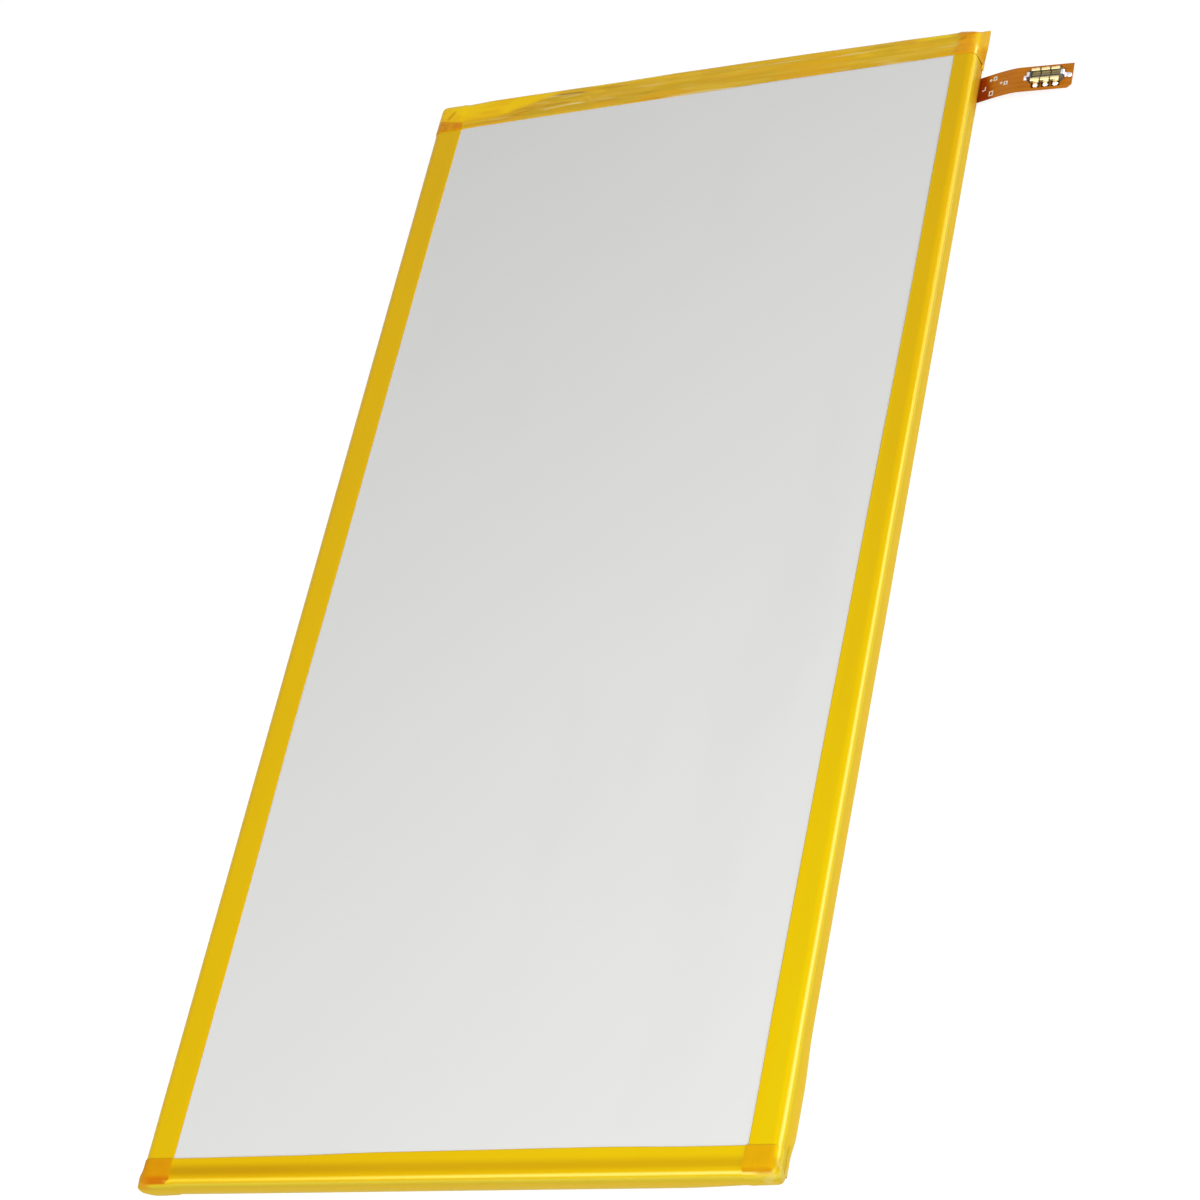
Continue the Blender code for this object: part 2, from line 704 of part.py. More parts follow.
def build_components():
    """Name, distance from the flex root, length, width, height, leads a side, finish."""
    components = (
        ("resistor_2", 5.3, 1.0, 0.5, 0.35, 0, "black_epoxy"),
        ("resistor_1", 7.3, 1.0, 0.5, 0.35, 0, "black_epoxy"),
        ("thermistor", 9.8, 1.0, 0.5, 0.5, 0, "ceramic_chip"),
        ("sense_resistor", 13.3, 2.4, 1.3, 0.55, 0, "black_epoxy"),
        ("mosfet_2", 24.8, 3.0, 1.4, 0.8, 4, "black_epoxy"),
        ("mosfet_1", 29.8, 3.0, 1.4, 0.8, 4, "black_epoxy"),
        ("protection_ic", 34.3, 2.0, 1.3, 0.75, 3, "black_epoxy"),
        ("capacitor_1", 37.8, 1.0, 0.5, 0.5, 0, "ceramic_chip"),
        ("capacitor_2", 39.8, 1.0, 0.5, 0.5, 0, "ceramic_chip"),
    )
    for name, offset, length, width, height, leads, finish in components:
        x = FLEX_LEG_LEFT - offset * MM
        build_chip(name, x, length * MM, width * MM, height * MM, leads, finish)


def tail_route():
    """The flex tail's middle line in X and Z: a soft rise, then the flat pad."""
    pad_run = Vector((math.cos(FLEX_PAD_SLOPE), 0.0, -math.sin(FLEX_PAD_SLOPE)))
    pad_start_x = PACK_WIDTH / 2 + FLEX_TAIL_REACH - pad_run.x * FLEX_PAD_LENGTH
    pad_start = Vector((pad_start_x, 0.0, FLEX_PAD_HEIGHT))
    exit_point = Vector((FLEX_LEG_RIGHT, 0.0, FLEX_BACK_Z))
    rise = interpolate_bezier(
        exit_point,
        exit_point + Vector((FLEX_EXIT_SOFTNESS, 0.0, 0.0)),
        pad_start - pad_run * FLEX_PAD_SOFTNESS,
        pad_start,
        FLEX_TAIL_STEPS + 1,
    )
    return rise + [pad_start + pad_run * FLEX_PAD_LENGTH], pad_start, pad_run


def build_flex():
    """One film: soldered on the board, turned round the terrace, down, out and up."""
    y_root = BOARD_FRONT - FLEX_ROOT
    route = [Vector((0.0, y_root, FLEX_ROOT_Z))]
    turn = arc(
        (BOARD_FRONT, FLEX_ROOT_Z - FLEX_CURL),
        FLEX_CURL,
        90,
        -90,
        FLEX_BEND_STEPS,
    )
    route += [Vector((0.0, y, z)) for y, z in turn]
    route.append(Vector((0.0, FLEX_TAIL_TOP, FLEX_BACK_Z)))
    bm = bmesh.new()
    start = bm.verts.new((FLEX_LEG_LEFT, y_root, FLEX_ROOT_Z))
    end = bm.verts.new((FLEX_LEG_RIGHT, y_root, FLEX_ROOT_Z))
    leg_tip = extrude_edge(bm, bm.edges.new((start, end)), route)
    corner_top = max(leg_tip.verts, key=lambda vert: vert.co.x)
    step = Vector((0.0, -FLEX_TAIL_WIDTH, 0.0))
    corner_edge = extrude_edge(bm, leg_tip, [Vector(), step])
    corner_bottom = max(corner_edge.verts, key=lambda vert: vert.co.x)
    tail, _, _ = tail_route()
    tail_tip = extrude_edge(bm, bm.edges.get((corner_top, corner_bottom)), tail)
    chamfer = min(tail_tip.verts, key=lambda vert: vert.co.y)
    bmesh.ops.bevel(bm, geom=[chamfer], offset=FLEX_CHAMFER, segments=1, affect="VERTICES")
    flex = add_part("flex_lead", to_mesh(bm, "flex_lead"), "flex_film")
    thicken(flex, FLEX_THICKNESS)


def build_pad_seat():
    """An empty on the flex tail's pad: X runs to its end and Z stands on the film."""
    _, pad_start, pad_run = tail_route()
    seat = bpy.data.objects.new("plug_seat", None)
    middle = pad_start + pad_run * (FLEX_PAD_LENGTH - PLUG_FROM_END)
    seat.location = (middle.x, FLEX_TAIL_BOTTOM + FLEX_TAIL_WIDTH / 2, middle.z)
    seat.rotation_euler.y = FLEX_PAD_SLOPE
    PARTS.objects.link(seat)
    return seat


def build_stiffener(seat):
    top = -FLEX_THICKNESS / 2 - SEAT_GAP
    start = PLUG_FROM_END - FLEX_PAD_LENGTH
    plate = chamfered_block(
        "flex_stiffener",
        (start, STIFFENER_INSET - FLEX_TAIL_WIDTH / 2, top - STIFFENER_THICKNESS),
        (PLUG_FROM_END - STIFFENER_INSET, FLEX_TAIL_WIDTH / 2 - STIFFENER_INSET, top),
        FLEX_CHAMFER,
        upright_only=True,
    )
    add_part("flex_stiffener", plate, "flex_film", seat)


def build_plug_housing(seat):
    """A shallow tray that the contacts clasp along its two long walls."""
    bottom = FLEX_THICKNESS / 2 + SEAT_GAP
    top = bottom + PLUG_HEIGHT
    tray = chamfered_block(
        "plug_housing",
        (-PLUG_LENGTH / 2, -PLUG_WIDTH / 2, bottom),
        (PLUG_LENGTH / 2, PLUG_WIDTH / 2, top),
        PLUG_CORNER,
        upright_only=True,
    )
    housing = add_part("plug_housing", tray, "plug_plastic", seat)
    half_length = PLUG_LENGTH / 2 - PLUG_END_WALL
    half_width = PLUG_WIDTH / 2 - PLUG_WALL
    trough = block(
        "plug_trough",
        (-half_length, -half_width, bottom + PLUG_FLOOR),
        (half_length, half_width, top + BEYOND),
    )
    cutter = add_cutter("plug_trough", trough)
    cutter.parent = seat
    combine(housing, cutter, "DIFFERENCE")


def build_contacts(seat):
    """Gold strips: soldered tail, up the wall, over it, down and along the trough."""
    middle = CONTACT_THICKNESS / 2
    film_top = FLEX_THICKNESS / 2 + SEAT_GAP
    outside = PLUG_WIDTH / 2 + SEAT_GAP + middle
    inside = PLUG_WIDTH / 2 - PLUG_WALL - SEAT_GAP - middle
    over = film_top + PLUG_HEIGHT + SEAT_GAP + middle
    low = film_top + PLUG_FLOOR + SEAT_GAP + middle
    corners = [
        (outside + CONTACT_TAIL, film_top + middle),
        (outside, film_top + middle),
        (outside, over),
        (inside, over),
        (inside, low),
        (inside - CONTACT_LAP, low),
    ]
    path = rounded_path(corners, BEND_RADIUS)
    for row in (0, 1):
        for index in range(CONTACTS_PER_ROW):
            number = row * CONTACTS_PER_ROW + index + 1
            name = f"contact_{number}"
            contact = bent_strip(name, path, CONTACT_WIDTH, CONTACT_THICKNESS, "gold_plate", seat)
            contact.location.x = (index - (CONTACTS_PER_ROW - 1) / 2) * CONTACT_PITCH
            contact.rotation_euler.z = row * math.pi


def build_hold_downs(seat):
    """Solder tabs that clasp the plug's two end walls."""
    middle = CONTACT_THICKNESS / 2
    film_top = FLEX_THICKNESS / 2 + SEAT_GAP
    outside = PLUG_LENGTH / 2 + SEAT_GAP + middle
    over = film_top + PLUG_HEIGHT + SEAT_GAP + middle
    corners = [
        (outside + HOLD_DOWN_TAIL, film_top + middle),
        (outside, film_top + middle),
        (outside, over),
        (outside - HOLD_DOWN_CAP, over),
    ]
    path = rounded_path(corners, BEND_RADIUS)
    for name, turn in (("hold_down_left", 1), ("hold_down_right", -1)):
        tab = bent_strip(name, path, HOLD_DOWN_WIDTH, CONTACT_THICKNESS, "silver_plate", seat)
        tab.rotation_euler.z = turn * math.pi / 2


clear_scene()
PARTS = make_collection("battery_pack")
CUTTERS = make_collection("cutters")
MATERIALS = {name: make_material(name) for name in FINISHES}

build_pouch_cell()
build_side_tapes()
build_end_tapes()
build_tabs()
build_insulation()
build_board()
build_components()
build_flex()
plug_seat = build_pad_seat()
build_stiffener(plug_seat)
build_plug_housing(plug_seat)
build_contacts(plug_seat)
build_hold_downs(plug_seat)
bpy.context.view_layer.update()
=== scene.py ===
"""Looks for the flat tablet battery pack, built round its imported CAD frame.

The wrapped film tapes are modelled here as thin sheets that fold round the pouch's
edges, crease over the board and end pinched at the corners. The plug gets its solder,
the flex tail its white marks, and every node its procedural material. All is in the
CAD's own frame, in millimetres that MM makes metres.
"""
import math
from dataclasses import dataclass, field

import bmesh
import bpy
from mathutils import Euler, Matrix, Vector, noise
from mathutils.bvhtree import BVHTree


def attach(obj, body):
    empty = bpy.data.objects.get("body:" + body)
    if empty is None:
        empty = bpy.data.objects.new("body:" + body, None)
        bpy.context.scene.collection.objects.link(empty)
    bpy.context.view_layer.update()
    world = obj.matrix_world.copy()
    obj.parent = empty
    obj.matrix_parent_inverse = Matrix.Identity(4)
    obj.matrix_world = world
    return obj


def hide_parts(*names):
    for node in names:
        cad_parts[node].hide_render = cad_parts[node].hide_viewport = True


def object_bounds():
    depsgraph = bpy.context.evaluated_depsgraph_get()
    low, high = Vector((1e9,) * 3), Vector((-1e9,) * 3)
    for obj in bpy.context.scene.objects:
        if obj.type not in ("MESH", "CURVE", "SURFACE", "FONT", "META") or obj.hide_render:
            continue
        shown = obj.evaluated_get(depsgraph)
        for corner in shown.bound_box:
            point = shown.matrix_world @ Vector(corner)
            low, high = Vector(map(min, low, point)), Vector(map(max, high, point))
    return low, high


MM = 0.001

# Camera: the photograph's place and angle
CAMERA_PLACE = Vector((170.26, -226.54, 292.14)) * MM
CAMERA_TURN = (38.742, 22.4536, 11.6182)
CAMERA_LENS = 112.0
CAMERA_SENSOR = 36.0

# Studio: the soft white from all round, and lights as name, direction, distance, size, strength
AMBIENT = 0.2
LIGHTS = (
    ("key", (0.369, -0.391, 0.843), 0.3, (0.4, 0.4), 2.05),
    ("right_strip", (0.82, 0.56, 0.17), 0.55, (0.5, 0.12), 7.0),
    ("front_strip", (-0.42, -0.83, 0.37), 0.55, (0.5, 0.1), 6.0),
)
FLOOR_REACH = 4.0
FLOOR_PAPER = 0.8
FLOOR_SHADOW = 0.3
FLOOR_GLOW = 0.82

# Pack and tape sizes, in millimetres
HALF_WIDTH = 35.0
HALF_LENGTH = 73.85
FACE_TOP = 3.0
FACE_BOTTOM = 0.0
THICKNESS = FACE_TOP - FACE_BOTTOM
PRESS = 0.03
FILM = 0.06
GLUE = 0.02
LAYER = FILM + GLUE
EDGE_RADIUS = 0.85
LEFT_FLAP = 3.55
RIGHT_FLAP_TOP = 2.5
RIGHT_FLAP_BOTTOM = 3.4
BOTTOM_FLAP_LEFT = 2.7
BOTTOM_FLAP_RIGHT = 3.1
TOP_FLAP = 4.2
TOP_FLAP_LEFT = TOP_FLAP + 0.16
TOP_FLAP_RIGHT = TOP_FLAP - 0.13
SIDE_TAPE_WIDTH = 10.0
BOTTOM_TAPE_WIDTH = 10.0
TOP_TAPE_WIDTH = 12.0
LEFT_TAPE_END = HALF_LENGTH - TOP_FLAP + 1.2
SIDE_TAPE_END = HALF_LENGTH - EDGE_RADIUS - 2 * LAYER
FLAP_LAP = 0.05

# Hand-laid flaps: a place along the tape and how much wider its flap is there, in millimetres
LEFT_WANDER = (
    (-60.0, -0.02), (-47.0, 0.03), (-19.5, -0.17), (7.5, -0.03),
    (34.5, -0.04), (50.0, 0.03), (70.0, 0.15),
)
RIGHT_WANDER = (
    (-68.0, -0.15), (-55.0, -0.07), (-25.0, 0.0), (0.0, -0.03),
    (33.0, -0.14), (55.0, -0.05), (70.0, 0.0),
)
BOTTOM_WANDER = ((-30.0, -0.17), (-18.0, -0.15), (-7.0, 0.0), (16.0, 0.02), (26.0, -0.14))
TOP_WANDER = (
    (-31.5, 0.17), (-28.5, 0.08), (-20.0, 0.03), (0.0, -0.02),
    (9.0, -0.1), (18.0, -0.08), (27.0, -0.02),
)

# How a tape hugs a corner: the turn, and its share of the way to the rim
HUG_ANGLE = math.radians(85.0)
HUG_SHARE = 0.6

# The top tape over the board, and its crease at the left corner, in millimetres
BOARD_START = -21.0
CREASE_START = (-33.5, 71.1)
CREASE_END = (-32.7, 72.3)

# Flex tail, in millimetres
FLEX_LEFT = 31.3
FLEX_RIGHT = 33.9
FLEX_BULGE = 0.14
EXIT_LOW = 64.25
EXIT_HIGH = 68.25
EXIT_TOP = 0.3
DARK_END = 36.4
DARK_SLANT = 0.25

# Plug on the flex tail's pad, in millimetres and degrees
PAD_MIDDLE = Vector((43.307, 66.25, 0.791))
PAD_SLOPE = 3.8
PAD_SURFACE = 0.06
CONTACT_PITCH = 1.165
CONTACT_FOOT = 1.2

# Solder joints: half length, half width and height; a hold-down's starts with its x on the pad
CONTACT_JOINT = (0.4, 0.31, 0.28)
HOLD_DOWN_JOINTS = (
    (-2.5, 0.27, 0.36, 0.26),
    (2.62, 0.38, 0.36, 0.22),
)

# White marks on the flex tail: their faces' lifts off it, and each one's middle and size
MARK_LINE = 0.13
MARK_LIFTS = (0.02, -0.01)
CROSSES = (
    (36.45, 67.2, 0.42),
    (37.85, 66.35, 0.36),
)
PAD_OUTLINES = (
    (37.0, 67.3, 0.34, 0.5),
    (36.72, 65.1, 0.42, 0.62),
    (38.45, 66.15, 0.36, 0.42),
)
UPRIGHT_BAR = (35.85, 66.15, 0.6)
LYING_BAR = (35.62, 65.9, 0.34)

# Film tones; a tape's pair runs from its warm end to its bright end
SPECULAR_TINT = (1.0, 0.9, 0.1)
LEFT_TAPE = ((0.775, 0.465, 0.0012), (0.73, 0.475, 0.0012))
RIGHT_TAPE = ((0.72, 0.43, 0.0012), (0.735, 0.515, 0.0012))
BOTTOM_TAPE = ((0.74, 0.46, 0.002), (0.745, 0.515, 0.002))
TOP_TAPE = ((0.95, 0.61, 0.002), (0.8, 0.5, 0.004))
HIDDEN_TAPE = ((0.7, 0.42, 0.002), (0.7, 0.46, 0.002))
LEFT_STRIP = (0.775, 0.465, 0.0)
RIGHT_STRIP = (0.75, 0.5, 0.0)
# Painted highlight along the tapes' front folds, yellow at the warm end and whiter at the bright end
FOLD_HIGHLIGHT = (0.9, 0.72, 0.05)
WHITER_FOLD_HIGHLIGHT = (0.92, 0.77, 0.17)
DEEP_YELLOW = (0.6, 0.33, 0.002)
SHADE = (0.55, 0.3, 0.002)
# Painted red-brown shade on a side tape round the flex tail's exit
EXIT_SHADE = (0.55, 0.165, 0.001)

# Plain materials by slot: dark and light tone, grain (scale, detail, stretch), roughness (low,
# high, scale), relief (grain, strength, depth in millimetres) and metallic
BRUSHED = (2500.0, 2.0, (0.08, 1.0, 1.0))
FIBRES = (5000.0, 4.0, (0.2, 1.0, 1.0))
GRIT = (9000.0, 2.0)
PLAIN_SKINS = {
    "black_epoxy": (
        ((0.014, 0.014, 0.015), (0.03, 0.03, 0.031)),
        (4000.0, 3.0), (0.45, 0.6, 900.0), (GRIT, 0.3, 0.01), 0.0,
    ),
    "ceramic_chip": (
        ((0.42, 0.32, 0.21), (0.5, 0.4, 0.28)),
        (3000.0, 3.0), (0.45, 0.6, 1500.0), None, 0.0,
    ),
    "tab_metal": (
        ((0.7, 0.7, 0.71), (0.8, 0.8, 0.8)),
        BRUSHED, (0.28, 0.42, 900.0), (BRUSHED, 0.15, 0.01), 1.0,
    ),
    "tab_film": (
        ((0.7, 0.7, 0.66), (0.78, 0.78, 0.74)),
        (800.0, 2.0), (0.4, 0.55, 600.0), None, 0.0,
    ),
    "fibre_paper": (
        ((0.3, 0.285, 0.24), (0.4, 0.375, 0.32)),
        FIBRES, (0.75, 0.9, 900.0), (FIBRES, 0.5, 0.03), 0.0,
    ),
    "print_ink": (
        ((0.72, 0.68, 0.6), (0.82, 0.8, 0.74)),
        (6000.0, 2.0), (0.5, 0.65, 3000.0), None, 0.0,
    ),
}

# Tones down a tape's side, with painted shading: a height above the back face, and the tone there
SIDE_TONE_AND_SHADE = (
    (0.1, (0.7, 0.54, 0.1)),
    (0.6, (0.7, 0.46, 0.03)),
    (1.5, (0.7, 0.45, 0.02)),
    (1.95, (0.62, 0.455, 0.01)),
    (2.4, (0.72, 0.55, 0.015)),
)
BOTTOM_TONE_AND_SHADE = (
    (0.15, (0.62, 0.46, 0.1)),
    (0.5, (0.62, 0.43, 0.04)),
    (1.1, (0.64, 0.42, 0.02)),
    (1.6, (0.56, 0.4, 0.018)),
    (2.2, (0.68, 0.54, 0.02)),
)

# Tones of the doubled corners; a pair is the tone, then its blotches, which on the bottom tape also
# make the painted shade along the fold
DOUBLE_EDGE = 0.06
BOTTOM_LEFT_DOUBLE = ((0.68, 0.3, 0.002), (0.55, 0.145, 0.001))
BOTTOM_RIGHT_DOUBLE = ((0.69, 0.365, 0.002), (0.57, 0.25, 0.001))
TOP_LEFT_DOUBLE = ((0.76, 0.32, 0.005), (0.62, 0.19, 0.003))
TOP_LEFT_RED = (0.68, 0.16, 0.003)
TOP_RIGHT_DOUBLE = ((0.8, 0.35, 0.008), (0.62, 0.235, 0.006))
TOP_RIGHT_SMUDGE = (0.45, 0.16, 0.006)
EAR_LIP = (0.64, 0.26, 0.002)
# Painted pale reflections in the crinkled film at the bottom right corner
CRINKLE_REFLECTION = (0.74, 0.6, 0.2)
# A painted highlight beside the top left crease, and painted shade along it
CREASE_HIGHLIGHT = (0.97, 0.55, 0.003)
CREASE_SHADE = (0.62, 0.27, 0.0)
FLAG_TONE = (0.74, 0.4, 0.06)
FLAG_SPOT = (0.62, 0.27, 0.005)

# Tones of the top tape
WARM_PATCH = (0.86, 0.47, 0.002)
INNER_EDGE = (0.76, 0.43, 0.004)
TAN = (0.6, 0.36, 0.008)
PALE_TAN = (0.78, 0.5, 0.05)
WARM_TAN = (0.76, 0.38, 0.008)
MOTTLED_TAN = (0.66, 0.33, 0.02)
BROWN = (0.3, 0.13, 0.01)
GLINT = (0.85, 0.7, 0.32)
ORANGE = (0.82, 0.4, 0.004)
YELLOW = (0.93, 0.67, 0.01)
OLIVE = (0.5, 0.3, 0.005)
AMBER = (0.9, 0.54, 0.025)

# Streaks of the top tape: start, end, width in millimetres, tone and share
STREAK_END = 0.7
STREAKS = (
    ((-18.9, 72.68), (-15.1, 72.55), 0.24, BROWN, 0.75),
    ((-18.4, 72.05), (-15.6, 72.25), 0.14, GLINT, 0.4),
    ((-20.4, 70.55), (-17.0, 70.85), 0.16, GLINT, 0.7),
    ((-17.2, 70.86), (-15.2, 70.88), 0.2, GLINT, 0.8),
    ((-25.2, 70.3), (-21.4, 70.98), 0.2, BROWN, 0.35),
    ((-14.9, 71.95), (-14.0, 70.9), 0.5, PALE_TAN, 0.5),
    ((-14.4, 73.25), (-5.0, 73.3), 0.26, YELLOW, 0.7),
    ((27.4, 72.95), (31.8, 73.0), 0.7, YELLOW, 0.7),
    ((-29.4, 71.6), (-26.6, 71.5), 0.55, ORANGE, 0.4),
    ((-31.5, 70.2), (-24.5, 70.35), 0.3, PALE_TAN, 0.45),
    ((-31.5, 69.8), (-24.5, 69.9), 0.2, BROWN, 0.22),
    ((-33.0, 72.9), (-27.5, 72.95), 0.4, YELLOW, 0.5),
    ((-19.1, 70.2), (-17.2, 70.15), 0.5, ORANGE, 0.55),
    ((-13.8, 70.15), (-11.1, 70.15), 0.5, ORANGE, 0.6),
    ((-15.2, 72.75), (-13.6, 72.75), 0.4, ORANGE, 0.5),
    ((-13.2, 72.8), (-9.8, 72.65), 0.24, OLIVE, 0.6),
    ((-14.0, 72.3), (-12.6, 72.3), 0.5, AMBER, 0.4),
    ((20.1, 71.85), (22.0, 71.75), 0.6, AMBER, 0.4),
    ((22.1, 72.75), (24.3, 72.65), 0.4, OLIVE, 0.5),
    ((25.3, 72.85), (28.4, 72.8), 0.5, ORANGE, 0.45),
    ((23.6, 71.8), (25.1, 71.8), 0.7, BROWN, 0.15),
)


def smooth(low, high, value):
    """0 below low, 1 above high and a soft step between."""
    t = min(max((value - low) / (high - low), 0.0), 1.0)
    return t * t * (3.0 - 2.0 * t)


def mix(a, b, t):
    return a + (b - a) * t


def spread(start, end, step):
    """Evenly spaced values from start to end, both kept."""
    count = max(1, math.ceil(abs(end - start) / step))
    return [mix(start, end, i / count) for i in range(count + 1)]


def level(value):
    """A value that stays the same all along a tape."""
    return lambda s: value


def slant(low_value, high_value, half):
    """A value that runs evenly from one end of a tape to the other."""
    return lambda s: mix(low_value, high_value, (s + half) / (2 * half))


def wander(places, s):
    """A soft curve through pairs of place and value, level past both ends."""
    value = places[0][1]
    for (low, start), (high, end) in zip(places, places[1:]):
        value += (end - start) * smooth(low, high, s)
    return value


class Graph:
    """A few words for building a material's node graph."""

    def __init__(self, name):
        self.material = bpy.data.materials.new(name)
        self.material.use_nodes = True
        self.tree = self.material.node_tree
        self.shader = self.tree.nodes["Principled BSDF"]
        self.coords = self.tree.nodes.new("ShaderNodeTexCoord").outputs["Object"]

    def put(self, value, socket):
        if isinstance(value, bpy.types.NodeSocket):
            self.tree.links.new(value, socket)
        elif isinstance(value, tuple) and len(value) == 3 and socket.type == "RGBA":
            socket.default_value = (*value, 1.0)
        else:
            socket.default_value = value

    def math(self, operation, a, b=0.0, c=0.0, clamp=False):
        node = self.tree.nodes.new("ShaderNodeMath")
        node.operation = operation
        node.use_clamp = clamp
        for value, socket in zip((a, b, c), node.inputs):
            self.put(value, socket)
        return node.outputs[0]

    def both(self, *masks):
        """1 only where every mask is 1."""
        result = masks[0]
        for mask in masks[1:]:
            result = self.math("MULTIPLY", result, mask)
        return result

    def step(self, value, low, high):
        """0 at low, 1 at high and a soft step between; low may be more."""
        node = self.tree.nodes.new("ShaderNodeMapRange")
        node.interpolation_type = "SMOOTHSTEP"
        self.put(value, node.inputs["Value"])
        node.inputs["From Min"].default_value = low
        node.inputs["From Max"].default_value = high
        return node.outputs["Result"]

    def band(self, value, start, end, soft):
        """1 where value lies between start and end."""
        rise = self.step(value, start - soft, start + soft)
        fall = self.step(value, end - soft, end + soft)
        return self.math("SUBTRACT", rise, fall, clamp=True)

    def place(self):
        """The surface's x, y and z, in millimetres."""
        node = self.tree.nodes.new("ShaderNodeSeparateXYZ")
        self.put(self.coords, node.inputs[0])
        return [self.math("DIVIDE", axis, MM) for axis in node.outputs]

    def stretched(self, scale):
        node = self.tree.nodes.new("ShaderNodeMapping")
        self.put(self.coords, node.inputs["Vector"])
        node.inputs["Scale"].default_value = scale
        return node.outputs["Vector"]

    def noise(self, scale, detail=2.0, stretch=(1.0, 1.0, 1.0)):
        node = self.tree.nodes.new("ShaderNodeTexNoise")
        self.put(self.stretched(stretch), node.inputs["Vector"])
        node.inputs["Scale"].default_value = scale
        node.inputs["Detail"].default_value = detail
        return node.outputs["Fac"]

    def patches(self, scale, low, high, stretch=(1.0, 1.0, 1.0), detail=3.0):
        """1 in scattered patches, where the noise is past high."""
        return self.step(self.noise(scale, detail, stretch), low, high)

    def varied(self, low, high, scale, stretch=(1.0, 1.0, 1.0)):
        """A number that drifts between low and high over the surface."""
        return self.math("MULTIPLY_ADD", self.noise(scale, 2.0, stretch), high - low, low)

    def wobble(self, value, amount, scale):
        """A place nudged to and fro, so that a drawn edge isn't ruler straight."""
        nudge = self.math("SUBTRACT", self.noise(scale), 0.5)
        return self.math("MULTIPLY_ADD", nudge, 2.0 * amount, value)

    def wave(self, scale):
        """Stripes across Y."""
        node = self.tree.nodes.new("ShaderNodeTexWave")
        node.bands_direction = "Y"
        self.put(self.coords, node.inputs["Vector"])
        node.inputs["Scale"].default_value = scale
        return node.outputs["Fac"]

    def mix(self, a, b, fac):
        node = self.tree.nodes.new("ShaderNodeMix")
        node.data_type = "RGBA"
        self.put(fac, node.inputs["Factor"])
        self.put(a, node.inputs[6])
        self.put(b, node.inputs[7])
        return node.outputs[2]

    def tint(self, colour, tone, mask, share):
        """A tone laid over a colour where the mask is 1, as strongly as share says."""
        return self.mix(colour, tone, self.math("MULTIPLY", mask, share))

    def stroke(self, start, end, width, soft):
        """1 along a straight line from start to end, with ends as soft as given."""
        x, y, _ = self.place()
        run = Vector(end) - Vector(start)
        along = run.normalized()
        terms = []
        for axis in (along, Vector((-along.y, along.x))):
            part = self.math("MULTIPLY_ADD", x, axis.x, self.math("MULTIPLY", y, axis.y))
            terms.append(self.math("SUBTRACT", part, axis.dot(Vector(start))))
        length = self.band(terms[0], 0.0, run.length, soft)
        across = self.band(terms[1], -width / 2, width / 2, width / 3)
        return self.both(length, across)

    def bump(self, height, strength, distance):
        """Fine relief; distance is in millimetres."""
        node = self.tree.nodes.new("ShaderNodeBump")
        node.inputs["Strength"].default_value = strength
        node.inputs["Distance"].default_value = distance * MM
        self.put(height, node.inputs["Height"])
        self.put(node.outputs["Normal"], self.shader.inputs["Normal"])

    def finish(self, colour, roughness, metallic=0.0, specular=0.5):
        self.put(colour, self.shader.inputs["Base Color"])
        self.put(roughness, self.shader.inputs["Roughness"])
        self.shader.inputs["Metallic"].default_value = metallic
        self.shader.inputs["Specular IOR Level"].default_value = specular
        return self.material


class FilmGraph(Graph):
    """Amber film whose tone drifts from warm at one end to bright at the other."""

    def __init__(self, name, lengthwise, tones):
        super().__init__(name)
        x, y, _ = self.place()
        if lengthwise:
            self.grain = (1.0, 0.12, 1.0)
            self.travel = self.step(y, HALF_LENGTH, -HALF_LENGTH)
        else:
            self.grain = (0.12, 1.0, 1.0)
            self.travel = self.step(x, -HALF_WIDTH, HALF_WIDTH)
        drift = self.patches(330.0, 0.35, 0.75, self.grain)
        self.colour = self.tint(self.mix(*tones, self.travel), DEEP_YELLOW, drift, 0.12)

    def lay(self, tone, mask, share=1.0):
        """Lay a tone over the film's colour where the mask is 1."""
        self.colour = self.tint(self.colour, tone, mask, share)

    def down_the_side(self, height, tones):
        """The tones down a tape's side, with painted shading: a darker band below the fold, and a
        pale lower lip.
        """
        node = self.tree.nodes.new("ShaderNodeValToRGB")
        self.put(self.step(height, 0.0, THICKNESS), node.inputs[0])
        ramp = node.color_ramp
        for place, shade in tones:
            stop = ramp.elements.new(smooth(0.0, THICKNESS, place))
            stop.color = (*shade, 1.0)
        ramp.elements.remove(ramp.elements[-1])
        ramp.elements.remove(ramp.elements[0])
        self.lay(node.outputs[0], self.step(height, 2.45, 2.2), 0.85)

    def done(self, height, keep=1.0, highlight_low=2.57):
        """A painted highlight along each front fold; the film is glossy in front and rubbed dull
        down its side.
        """
        # Painted highlight: a pale band along the front fold, laid where highlight is kept
        fold = self.both(self.band(height, highlight_low, 2.8, 0.07), keep)
        self.lay(self.mix(FOLD_HIGHLIGHT, WHITER_FOLD_HIGHLIGHT, self.travel), fold, 0.75)
        gloss = self.varied(0.14, 0.26, 500.0, self.grain)
        rubbed = self.step(height, 2.3, 2.0)
        dull = self.math("MAXIMUM", rubbed, self.math("SUBTRACT", 1.0, keep))
        roughness = self.math("MULTIPLY_ADD", dull, 0.45, gloss)
        self.bump(self.noise(900.0, 2.0, self.grain), 0.2, 0.02)
        self.shader.inputs["Specular Tint"].default_value = (*SPECULAR_TINT, 1.0)
        return self.finish(self.colour, roughness, specular=0.2)


